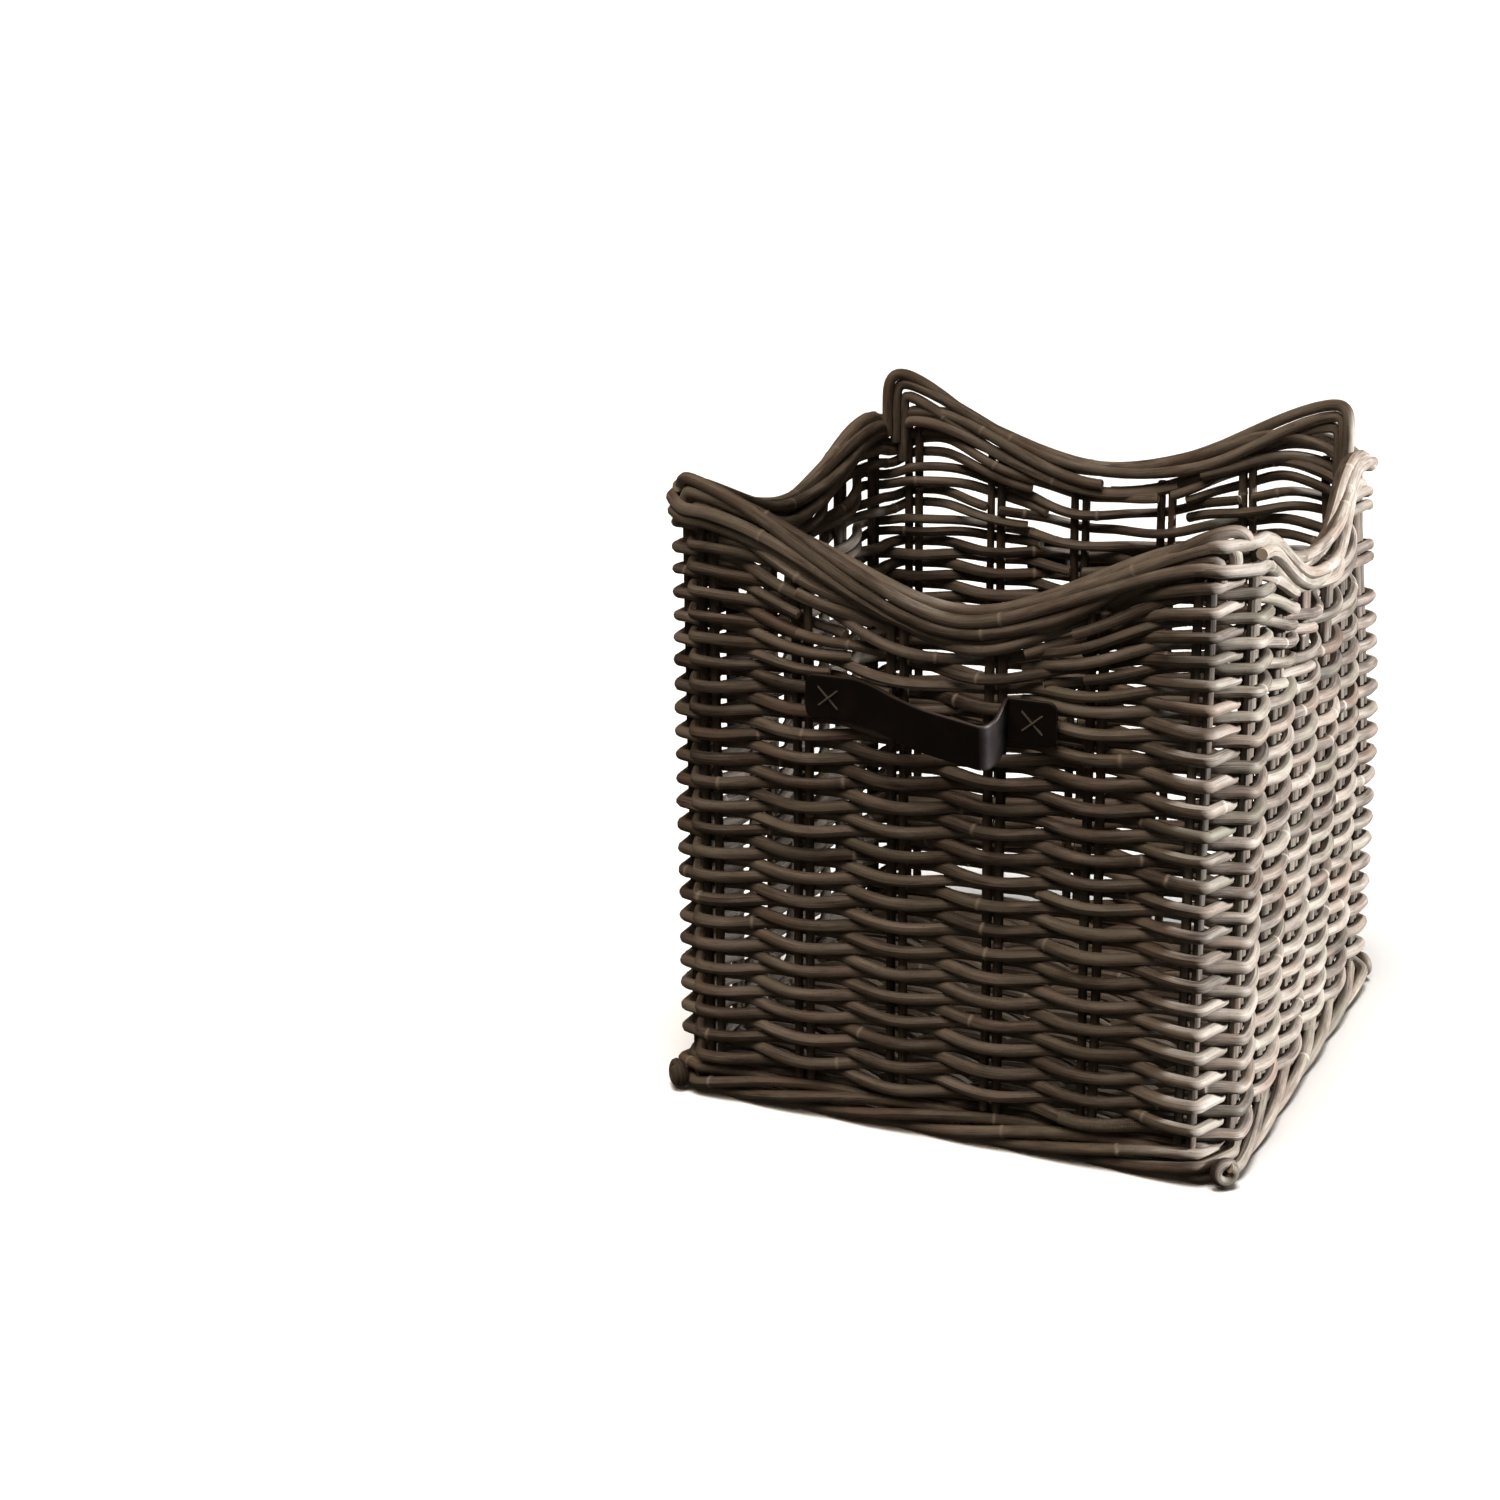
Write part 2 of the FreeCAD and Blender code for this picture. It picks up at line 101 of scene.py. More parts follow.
def colour(code: str) -> tuple[float, float, float, float]:
    """Turns an sRGB hex colour to linear.

    Args:
        code: A hex colour such as "#7d7063".

    Returns:
        Linear red, green, blue and an alpha of 1.
    """
    parts = [int(code[i : i + 2], 16) / 255 for i in (1, 3, 5)]
    line = [p / 12.92 if p <= 0.04045 else ((p + 0.055) / 1.055) ** 2.4 for p in parts]
    return (line[0], line[1], line[2], 1.0)


def smooth(value: Array) -> Array:
    """Eases a share from 0 to 1 with flat ends."""
    share = np.clip(value, 0, 1)
    return share * share * (3 - 2 * share)


def toned(rng: Rng, tone: float, spread: float) -> float:
    """Draws a tone within a spread of a middle one."""
    return tone + rng.uniform(-spread, spread)


def run_of(line: Array) -> Array:
    """Each point's distance along a line from its start."""
    return np.concatenate([[0], np.cumsum(np.linalg.norm(np.diff(line, axis=0), axis=1))])


def blurred(points: Array, reach: float, step: float = CLOSE, pad: str | None = None) -> Array:
    """Softens a line's bends.

    Args:
        points: Points a step apart, one a row.
        reach: How far each point is spread.
        step: The distance between points.
        pad: "wrap" for a closed line, "edge" to keep the ends, or None to lose three
            reaches at each end.

    Returns:
        The softened points.
    """
    count = int(3 * reach / step)
    window = np.exp(-0.5 * (np.arange(-count, count + 1) * step / reach) ** 2)
    if pad:
        points = np.pad(points, ((count, count), (0, 0)), mode=pad)
    return np.stack([np.convolve(c, window / window.sum(), mode="valid") for c in points.T], axis=1)


def tube(count: int, around: int) -> Array:
    """The quads of a tube of `count` rings with `around` corners each."""
    ring = np.arange(count - 1)[:, None] * around
    one = np.arange(around)[None, :]
    two = (one + 1) % around
    quads = np.stack([ring + one, ring + two, ring + two + around, ring + one + around], axis=2)
    return quads.reshape(-1, 4)


def linked(name: str, data: bpy.types.ID) -> Thing:
    """Makes an object of a mesh, a light or a camera and puts it in the scene."""
    made = bpy.data.objects.new(name, data)
    bpy.context.scene.collection.objects.link(made)
    return made


def meshed(name: str, points: Array, faces: list[tuple], sharp: float, fields: dict[str, Array]) -> Thing:
    """Makes a smooth mesh object.

    Args:
        name: The object's name.
        points: Its corners, one a row.
        faces: Its faces.
        sharp: The angle in degrees past which an edge is sharp.
        fields: Attributes of its corners by name: vectors, or single values.

    Returns:
        The object, not yet dressed.
    """
    mesh = bpy.data.meshes.new(name)
    mesh.from_pydata(points.tolist(), [], faces)
    for key, values in fields.items():
        kind, holder = ("FLOAT_VECTOR", "vector") if values.ndim == 2 else ("FLOAT", "value")
        data = mesh.attributes.new(key, kind, "POINT").data
        data.foreach_set(holder, values.astype(np.float32).ravel())
    mesh.polygons.foreach_set("use_smooth", [True] * len(mesh.polygons))
    mesh.set_sharp_from_angle(angle=math.radians(sharp))
    mesh.update()
    return linked(name, mesh)


def add(tree: Tree, kind: str, settings: dict | None = None, **sockets: object) -> Node:
    """Adds a node with its settings and links.

    Args:
        tree: The node tree.
        kind: The node's Blender type, without the ShaderNode prefix.
        settings: Properties of the node.
        **sockets: Inputs by name, with _ for a space, or by i and their number: a value to
            hold or an output to link.

    Returns:
        The new node.
    """
    node = tree.nodes.new("ShaderNode" + kind)
    for key, value in (settings or {}).items():
        setattr(node, key, value)
    for key, value in sockets.items():
        number = key[1:]
        socket = node.inputs[int(number)] if number.isdigit() else node.inputs[key.replace("_", " ")]
        if isinstance(value, bpy.types.NodeSocket):
            tree.links.new(value, socket)
        else:
            socket.default_value = value
    return node


def new_material(name: str) -> tuple[bpy.types.Material, Tree]:
    """Makes an empty material and gives it with its node tree."""
    material = bpy.data.materials.new(name)
    material.use_nodes = True
    material.node_tree.nodes.clear()
    return material, material.node_tree


def shaded(material: bpy.types.Material, **sockets: object) -> bpy.types.Material:
    """Ends a material with its shader.

    Args:
        material: The material.
        **sockets: The shader's inputs, named as for add.

    Returns:
        The same material.
    """
    tree = material.node_tree
    shader = add(tree, "BsdfPrincipled", **sockets)
    tree.links.new(shader.outputs[0], add(tree, "OutputMaterial").inputs["Surface"])
    return material


@dataclass(frozen=True)
class CaneFinish:
    """Weathered grey kubu: rattan cane soaked in mud and dried unvarnished.

    To the eye it is dull, with long fibres, blotches where the skin stayed on, and paler
    knots and cut ends.
    """

    name: str
    dark: str = "#2b2522"
    brown: str = "#62574e"
    grey: str = "#91877c"
    pale: str = "#b3aa9f"
    green: str = "#7f7b69"
    red: str = "#86705f"
    knot: str = "#bcb1a3"
    cut: str = "#cfc5b3"
    blotch: float = 30 * MM
    fibre: float = 0.8 * MM
    fibre_length: float = 45 * MM
    fleck: float = 2.5 * MM
    blotch_share: float = 0.9
    fibre_share: float = 0.75
    middle: float = 0.825

    def scaled(self, tree: Tree, along: float, across: float, detail: float) -> bpy.types.NodeSocket:
        """Noise laid along the cane.

        Args:
            tree: The node tree.
            along: The marks' length.
            across: The marks' width.
            detail: The noise's detail.

        Returns:
            The noise's value.
        """
        place = add(tree, "Attribute", {"attribute_name": "cane"})
        scale = (1 / along, 1 / across, 1 / across)
        vector = add(tree, "VectorMath", {"operation": "MULTIPLY"}, i0=place.outputs["Vector"], i1=scale)
        noise = add(tree, "TexNoise", Vector=vector.outputs[0], Scale=1.0, Detail=detail, Roughness=0.6)
        return noise.outputs[0]

    def material(self) -> bpy.types.Material:
        """Builds the cane's material."""
        material, tree = new_material(self.name)
        marks = [add(tree, "Attribute", {"attribute_name": name}) for name in ("tone", "knot", "cut")]
        tone, knot, cut = (mark.outputs["Fac"] for mark in marks)
        blotch = self.scaled(tree, self.blotch, self.blotch / 5, 3.0)
        fibre = self.scaled(tree, self.fibre_length, self.fibre, 2.0)
        fleck = self.scaled(tree, self.fleck, self.fleck / 2.5, 1.0)
        tint = self.scaled(tree, self.blotch * 4, self.blotch, 1.0)
        level = tone
        for noise, share in ((blotch, self.blotch_share), (fibre, self.fibre_share)):
            level = add(tree, "Math", {"operation": "MULTIPLY_ADD"}, i0=noise, i1=share, i2=level).outputs[0]
        level = add(tree, "Math", {"operation": "SUBTRACT"}, i0=level, i1=self.middle)
        ramp = add(tree, "ValToRGB", Fac=level.outputs[0])
        stops = ramp.color_ramp.elements
        stops[0].position, stops[0].color = 0.1, colour(self.dark)
        stops[1].position, stops[1].color = 0.95, colour(self.pale)
        for position, code in ((0.36, self.brown), (0.64, self.grey)):
            stops.new(position).color = colour(code)
        layers = [
            (add(tree, "MapRange", Value=value, i1=low, i2=high, i3=0.0, i4=strength).outputs[0], code)
            for value, low, high, strength, code in (
                (tint, 0.5, 0.72, 0.55, self.green),
                (tint, 0.48, 0.3, 0.5, self.red),
                (fleck, 0.66, 0.74, 0.55, self.dark),
            )
        ]
        shade = ramp.outputs["Color"]
        for share, code in (*layers, (knot, self.knot), (cut, self.cut)):
            shade = add(tree, "MixRGB", Fac=share, Color1=shade, Color2=colour(code)).outputs[0]
        gloss = add(tree, "MapRange", Value=fibre, i1=0.3, i2=0.7, i3=0.5, i4=0.72).outputs[0]
        rise = add(tree, "Math", {"operation": "MULTIPLY_ADD"}, i0=fleck, i1=-0.4, i2=fibre).outputs[0]
        bump = add(tree, "Bump", Height=rise, Strength=0.55, Distance=0.5 * MM).outputs[0]
        return shaded(material, Base_Color=shade, Roughness=gloss, IOR=1.5, Normal=bump)


@dataclass(frozen=True)
class LeatherFinish:
    """Vegetable-tanned strap leather, dyed nearly black and waxed.

    To the eye it is a deep brown-black with a soft sheen, a fine pebbled grain and
    rubbed, slightly lighter edges.
    """

    name: str = "waxed_strap_leather"
    face: str = "#140d0b"
    rubbed: str = "#2a1d17"
    edge: str = "#3b2f29"
    grain: float = 0.9 * MM
    wear: float = 25 * MM

    def material(self) -> bpy.types.Material:
        """Builds the leather's material."""
        material, tree = new_material(self.name)
        place = add(tree, "Attribute", {"attribute_name": "hide"}).outputs["Vector"]
        edge = add(tree, "Attribute", {"attribute_name": "edge"}).outputs["Fac"]
        cells = add(tree, "TexVoronoi", {"feature": "DISTANCE_TO_EDGE"}, Vector=place, Scale=1 / self.grain)
        wear = add(tree, "TexNoise", Vector=place, Scale=1 / self.wear, Detail=4.0).outputs[0]
        worn = add(tree, "MapRange", Value=wear, i1=0.5, i2=0.75, i3=0.0, i4=0.6).outputs[0]
        shade = colour(self.face)
        for share, code in ((worn, self.rubbed), (edge, self.edge)):
            shade = add(tree, "MixRGB", Fac=share, Color1=shade, Color2=colour(code)).outputs[0]
        gloss = add(tree, "MapRange", Value=wear, i1=0.3, i2=0.7, i3=0.36, i4=0.55).outputs[0]
        pebble = add(tree, "MapRange", Value=cells.outputs[0], i1=0.0, i2=0.12, i3=0.0, i4=1.0).outputs[0]
        bump = add(tree, "Bump", Height=pebble, Strength=0.35, Distance=0.15 * MM).outputs[0]
        return shaded(material, Base_Color=shade, Roughness=gloss, IOR=1.48, Normal=bump)


@dataclass(frozen=True)
class ThreadFinish:
    """Waxed linen sewing thread, pale grey and dull, with fibres along each ply."""

    name: str = "waxed_linen_thread"
    light: str = "#8f8b82"
    dark: str = "#56524b"
    fibre: float = 0.25 * MM

    def material(self) -> bpy.types.Material:
        """Builds the thread's material."""
        material, tree = new_material(self.name)
        place = add(tree, "Attribute", {"attribute_name": "cane"}).outputs["Vector"]
        noise = add(tree, "TexNoise", Vector=place, Scale=1 / self.fibre, Detail=2.0).outputs[0]
        shade = add(tree, "MixRGB", Fac=noise, Color1=colour(self.dark), Color2=colour(self.light)).outputs[0]
        bump = add(tree, "Bump", Height=noise, Strength=0.3, Distance=0.1 * MM).outputs[0]
        return shaded(material, Base_Color=shade, Roughness=0.7, IOR=1.5, Normal=bump)


@dataclass(frozen=True)
class FloorFinish:
    """Matt white studio paint on the floor, even and shadow-soft."""

    name: str = "matt_white_paint"
    paint: str = "#f4f3f1"

    def material(self) -> bpy.types.Material:
        """Builds the floor's material."""
        material, tree = new_material(self.name)
        place = add(tree, "TexCoord").outputs["Object"]
        noise = add(tree, "TexNoise", Vector=place, Scale=40.0, Detail=2.0).outputs[0]
        bump = add(tree, "Bump", Height=noise, Strength=0.03, Distance=1 * MM).outputs[0]
        return shaded(material, Base_Color=colour(self.paint), Roughness=0.9, Normal=bump)


@dataclass
class Wardrobe:
    """The finishes, one material for each slot."""

    finishes: dict[Slot, object] = field(
        default_factory=lambda: {
            Slot.WEAVE: CaneFinish("grey_kubu_weaver"),
            Slot.STAKE: CaneFinish("grey_kubu_stake", brown="#5a4f46", grey="#82776b"),
            Slot.RIM: CaneFinish("grey_kubu_border", grey="#978d82", pale="#b9b0a5"),
            Slot.FOOT: CaneFinish("grey_kubu_foot", grey="#8b8072"),
            Slot.LEATHER: LeatherFinish(),
            Slot.THREAD: ThreadFinish(),
        }
    )

    def __post_init__(self) -> None:
        """Builds every material once."""
        self.materials = {slot: finish.material() for slot, finish in self.finishes.items()}

    def dress(self, piece: Thing, slot: Slot, nodes: list[str], body: str | None) -> None:
        """Gives a piece the finish of its slot and its body, and hides the CAD nodes it stands for.

        Args:
            piece: The piece.
            slot: Its material slot.
            nodes: The CAD nodes it stands for.
            body: The body it rides on, or None to leave it on no body.
        """
        piece.data.materials.append(self.materials[slot])
        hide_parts(*nodes)
        if body:
            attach(piece, body)
        LOG.info("%s: %d faces, stands for %d nodes", piece.name, len(piece.data.polygons), len(nodes))


@dataclass
class Bundle:
    """Canes collected into one mesh, with the attributes that the finishes read."""

    rng: Rng
    sides: int = 10
    spacing: float = 3.4 * MM
    chamfer: float = 0.7 * MM
    knot_rise: float = 0.5 * MM
    knot_width: float = 1.3 * MM
    knot_rings: tuple[float, ...] = (-2, -1, -0.4, 0, 0.4, 1, 2)
    parts: list[tuple] = field(default_factory=list)

    def knots(self, length: float, gap: tuple[float, float]) -> Array:
        """Places of the growth knots along a cane.

        Args:
            length: The cane's length.
            gap: The least and greatest distance between knots.

        Returns:
            Distances from the cane's start.
        """
        places = []
        at = self.rng.uniform(20 * MM, gap[1])
        while at < length - 8 * MM:
            places.append(at)
            at += self.rng.uniform(*gap)
        return np.array(places)

    def cane(
        self,
        line: Array,
        radius: float,
        tone: float,
        ref: tuple[float, float, float] = (0, 0, 1),
        knot_gap: tuple[float, float] | None = (200 * MM, 480 * MM),
        ribs: float = 0,
    ) -> None:
        """Adds a cane round a line.

        Args:
            line: Close points along the middle.
            radius: The cane's radius.
            tone: How dark or pale it is, about 0.5.
            ref: A direction that the cane never follows.
            knot_gap: The least and greatest distance between knots, or None for no knots.
            ribs: The pitch of raised turns round the cane, or 0 for a smooth one.
        """
        run = run_of(line)
        length = run[-1]
        knots = self.knots(length, knot_gap) if knot_gap else np.array([])
        spacing = ribs / 4 if ribs else self.spacing
        even = np.linspace(self.chamfer, length - self.chamfer, max(2, int(length / spacing)))
        near = (knots[:, None] + self.knot_width * np.array(self.knot_rings)).ravel()
        near = near[(near > self.chamfer) & (near < length - self.chamfer)]
        at = np.sort(np.concatenate([even, near]))
        at = at[np.concatenate([[True], np.diff(at) > 0.25 * MM])]
        at = np.concatenate([[0], at, [length]])

        def point(s: Array) -> Array:
            """Points on the line at distances along it."""
            return np.stack([np.interp(s, run, line[:, k]) for k in range(3)], axis=1)

        reach = 0.9 * MM
        ahead = point(np.minimum(at + reach, length)) - point(np.maximum(at - reach, 0))
        ahead /= np.linalg.norm(ahead, axis=1)[:, None]
        across = np.cross(ahead, np.array(ref, float))
        across /= np.linalg.norm(across, axis=1)[:, None]
        up = np.cross(across, ahead)
        phase = self.rng.uniform(0, TURN, 6)
        swell = 1 + 0.025 * np.sin(at * 21 + phase[0]) + 0.02 * np.sin(at * 57 + phase[1])
        size = radius * swell
        knot = np.zeros(len(at))
        for place in knots:
            knot = np.maximum(knot, np.exp(-(((at - place) / self.knot_width) ** 2)))
        size = size + self.knot_rise * knot
        if ribs:
            size = size + 0.28 * ribs * np.abs(np.sin(math.pi * at / ribs))
        size[[0, -1]] -= self.chamfer
        angle = TURN * np.arange(self.sides) / self.sides
        oval = 1 + 0.03 * np.cos(2 * angle + phase[2]) + 0.02 * np.cos(3 * angle + phase[3])
        turned = angle[None, :] + (at * 3.0 + phase[4])[:, None]
        rings = size[:, None] * oval[None, :]
        verts = (
            point(at)[:, None, :]
            + (np.cos(turned) * rings)[:, :, None] * across[:, None, :]
            + (np.sin(turned) * rings)[:, :, None] * up[:, None, :]
        )
        offset = self.rng.uniform(0, 50)
        skin = np.broadcast_arrays(at[:, None] + offset, radius * np.cos(angle), radius * np.sin(angle))
        drift = 0.07 * np.sin(at * 9 + phase[5]) + 0.05 * np.sin(at * 23 + phase[0])
        cut = np.zeros(len(at))
        cut[[0, -1]] = 1
        ends = [[offset, 0, 0], [offset + length, 0, 0]]
        fields = {
            "cane": np.concatenate([np.stack(skin, axis=2).reshape(-1, 3), ends]),
            "tone": np.append(np.repeat(tone + drift, self.sides), [tone, tone]),
            "knot": np.append(np.repeat(0.75 * knot, self.sides), [0, 0]),
            "cut": np.append(np.repeat(cut, self.sides), [1, 1]),
        }
        count = len(at) * self.sides
        last = count - self.sides
        caps = [(count, (j + 1) % self.sides, j) for j in range(self.sides)]
        caps += [(count + 1, last + j, last + (j + 1) % self.sides) for j in range(self.sides)]
        verts = np.concatenate([verts.reshape(-1, 3), point(at[[0, -1]])])
        self.parts.append((verts, tube(len(at), self.sides), caps, fields))

    def piece(self, name: str) -> Thing:
        """Makes the collected canes into one object.

        Args:
            name: The piece's name.

        Returns:
            The new object, not yet dressed.
        """
        faces: list[tuple[int, ...]] = []
        start = 0
        for verts, quads, caps, _ in self.parts:
            faces += [tuple(q) for q in (quads + start).tolist()]
            faces += [tuple(i + start for i in cap) for cap in caps]
            start += len(verts)
        points = np.concatenate([part[0] for part in self.parts])
        keys = self.parts[0][3]
        fields = {key: np.concatenate([part[3][key] for part in self.parts]) for key in keys}
        return meshed(name, points, faces, 40, fields)


@dataclass
class StakeLine:
    """The square with cut corners that the stakes stand on, walked anticlockwise from the front left corner.

    A place on it is q: the stakes are at 0 to 23, six to a side, and other places lie in
    proportion between them.
    """

    cut: float = 18 * MM
    step: float = 0.5 * MM
    bend: float = 1.8 * MM
    turn_reach: float = 9 * MM
    rim_band: float = 36 * MM
    ear_lift: float = 9 * MM
    ear_ease: float = 24 * MM
    ducks: tuple[float, float, float, float] = (12 * MM, 36 * MM, 36 * MM, 12 * MM)
    duck_reach: float = 0.8
    rim_power: float = 1.38
    steep_power: float = 2.5
    rim_crown: float = 0.08
    crown_power: float = 2.5
    dip_shift: tuple[float, float, float, float] = (12 * MM, -15 * MM, 22 * MM, 10 * MM)
    rim_wander: float = 1.4 * MM
    slouch: tuple[float, float, float] = (-17 * MM, -4 * MM, 0.0)
    slouch_from: float = 250 * MM
    slouch_span: float = 190 * MM
    slouch_foot: float = 220 * MM
    slouch_rise: float = 320 * MM
    kink: float = 3.3 * MM
    hug: float = 10.5 * MM

    def __post_init__(self) -> None:
        """Walks the line, finds the stakes on it and works out the rim's height."""
        pairs = [(side.value, number) for side in Side for number in range(1, SIDE_STAKES + 1)]
        middles = [self.middle(f"{side}_stake_pair_{number}") for side, number in pairs]
        self.half_x = max(abs(m.x) for m in middles)
        self.half_y = max(abs(m.y) for m in middles)
        self.walk()
        plan = np.array([(m.x, m.y) for m in middles])
        nearest = [np.argmin(np.linalg.norm(self.plan - p, axis=1)) for p in plan]
        arcs = self.arc[nearest]
        self.stake_q = np.arange(-STAKES, 2 * STAKES)
        self.stake_arc = np.concatenate([arcs - self.length, arcs, arcs + self.length])
        self.rim()

    @staticmethod
    def middle(node: str) -> Vector:
        """The middle of a CAD node's box."""
        low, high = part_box(node)
        return (low + high) / 2

    def eased(self, values: Array, reach: float) -> Array:
        """Evens values, one row for each sample, out round the line."""
        return blurred(values, reach, self.step, "wrap")

    def walk(self) -> None:
        """Samples the line's plan, its outward direction and its place on each side."""
        plans, outs, shares, sides = [], [], [], []
        slant = self.cut * math.sqrt(2)
        for number in range(len(Side)):
            half, away = (self.half_x, self.half_y) if number % 2 == 0 else (self.half_y, self.half_x)
            reach, next_reach = half - self.cut + slant / 2, away - self.cut + slant / 2
            straight = np.arange(self.cut - half, half - self.cut, self.step)
            across = np.arange(0, slant, self.step)
            first = across < slant / 2
            x = np.concatenate([straight, half - self.cut + across / math.sqrt(2)])
            y = np.concatenate([np.zeros_like(straight), across / math.sqrt(2)]) - away
            facing = np.repeat([-math.pi / 2, -math.pi / 4], [len(straight), len(across)])
            turn = number * math.pi / 2
            spin = np.array([[math.cos(turn), math.sin(turn)], [-math.sin(turn), math.cos(turn)]])
            plans.append(np.stack([x, y], axis=1) @ spin)
            outs.append(np.stack([np.cos(facing), np.sin(facing)], axis=1) @ spin)
            past = (across - slant / 2) / next_reach - 1
            corner = np.where(first, (half - self.cut + across) / reach, past)
            shares.append(np.concatenate([straight / reach, corner]))
            corner = np.where(first, number, (number + 1) % len(Side))
            sides.append(np.concatenate([np.full(len(straight), number), corner]))
        self.plan = self.eased(np.concatenate(plans), self.bend)
        out = self.eased(np.concatenate(outs), self.turn_reach)
        self.out = out / np.linalg.norm(out, axis=1)[:, None]
        self.share = np.concatenate(shares)
        self.side = np.concatenate(sides)
        gaps = np.linalg.norm(np.diff(np.concatenate([self.plan, self.plan[:1]]), axis=0), axis=1)
        self.arc = np.concatenate([[0], np.cumsum(gaps)[:-1]])
        self.length = gaps.sum()

    def rim(self) -> None:
        """Works out the rim's height all round, dipping on each side and peaking at the ears."""
        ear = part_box("front_right_rim_ear")[1].z + self.ear_lift
        dips = np.array([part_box(f"{side.value}_rim_border")[0].z + self.rim_band for side in Side])
        right, left = (list(Side).index(side) for side in (Side.RIGHT, Side.LEFT))
        dip = dips[self.side.astype(int)]
        shift = np.array(self.dip_shift)[self.side.astype(int)] / self.half_x
        share = np.abs(self.share - shift * (1 - self.share**2))
        steep = ((self.side == right) & (self.share > 0)) | ((self.side == left) & (self.share < 0))
        power = np.where(steep, self.steep_power, self.rim_power)
        rise = share**power + self.rim_crown * np.sin(math.pi * share**self.crown_power)
        height = dip + (ear - dip) * rise
        self.height = self.eased(height[:, None], self.ear_ease)[:, 0]

    def arc_at(self, q: Array) -> Array:
        """Distances along the line at places q."""
        return np.interp(q, self.stake_q, self.stake_arc)

    def q_at(self, arc: Array) -> Array:
        """Places q at distances along the line."""
        return np.interp(arc, self.stake_arc, self.stake_q)

    def rim_top(self, q: Array) -> Array:
        """Heights of the rim's top at places q."""
        wave = np.sin(TURN * 5 * q / STAKES + 1) + np.sin(TURN * 11 * q / STAKES + 3)
        height = np.interp(self.arc_at(q), self.arc, self.height, period=self.length)
        return height + 0.5 * self.rim_wander * wave

    def near_corner(self, q: Array) -> Array:
        """How near places q are to a corner, from 0 to 1 at its middle."""
        away = np.mod(q + 0.5 + SIDE_STAKES / 2, SIDE_STAKES) - SIDE_STAKES / 2
        return np.exp(-((away / self.duck_reach) ** 2))

    def duck(self, q: Array) -> Array:
        """How far the weave and the inner border pass below the ears' hoops at places q."""
        corner = np.mod(np.floor((np.asarray(q) + 0.5) / SIDE_STAKES - 0.5), len(CORNERS)).astype(int)
        return np.array(self.ducks)[corner] * self.near_corner(q)

    def place(self, q: Array, out: Array | float, z: Array | float) -> Array:
        """Points beside the line.

        Args:
            q: Places along it.
            out: Distance outwards.
            z: Height.

        Returns:
            One point a row.
        """
        arc = self.arc_at(q)
        values = [self.plan[:, 0], self.plan[:, 1], self.out[:, 0], self.out[:, 1]]
        x, y, nx, ny = (np.interp(arc, self.arc, v, period=self.length) for v in values)
        return self.slouched(np.stack([x + nx * out, y + ny * out, np.broadcast_to(z, x.shape)], axis=1))

    def slouched(self, points: Array) -> Array:
        """Leans the top of the back right corner inwards, where the basket has sagged a little."""
        corner = smooth((points[:, 0] + points[:, 1] - self.slouch_from) / self.slouch_span)
        height = smooth((points[:, 2] - self.slouch_foot) / self.slouch_rise)
        return points + (corner * height)[:, None] * np.array(self.slouch)

    def woven(self, q: Array, out: Array, ends: tuple[float, float], z: Array) -> Array:
        """Points of a weaver that bends sharply beside a stake pair and tucks behind the next.

        Args:
            q: Places along the line, under 1 mm apart.
            out: Distance outwards.
            ends: Distances outwards at the even and at the odd stakes.
            z: Height.

        Returns:
            One point a row.
        """
        points = self.place(q, out, z)
        ways = np.array([[1.0, 0.0], [0.0, 1.0], [-1.0, 0.0], [0.0, -1.0]])
        for corner, way in enumerate(ways):
            stake = SIDE_STAKES * (corner + 1) - 1
            past = np.mod(q - stake, STAKES)
            inside = past < 1
            if not inside.any():
                continue
            beside = np.array([ends[stake % 2], ends[(stake + 1) % 2]])
            near = self.place(np.array([stake, stake + 1.0]), beside, 0.0)[:, :2]
            turned = np.array([-way[1], way[0]])
            bends = np.array([near[0], near[0] + way * self.hug, near[1] - turned * self.hug, near[1]])
            run = run_of(bends)
            for axis in (0, 1):
                points[inside, axis] = np.interp(past[inside] * run[-1], run, bends[:, axis])
            points[inside] = self.slouched(points[inside])
        return blurred(points, self.kink, pad="edge")

    def sample(self, start: float, end: float) -> Array:
        """Close places q from start to end, under 1 mm apart."""
        span = abs(float(self.arc_at(np.array([end]))[0] - self.arc_at(np.array([start]))[0]))
        return np.linspace(start, end, max(12, int(span / CLOSE)))


def wander(rng: Rng, q: Array, size: float, waves: tuple[int, ...] = (5, 9, 14, 21)) -> Array:
    """A slow wobble round the basket.

    Args:
        rng: The random source.
        q: Places round the basket.
        size: The wobble's usual size.
        waves: How many waves fit round the basket.

    Returns:
        Offsets at each place.
    """
    total = sum(np.sin(TURN * wave * q / STAKES + rng.uniform(0, TURN)) for wave in waves)
    return size * total / math.sqrt(len(waves))


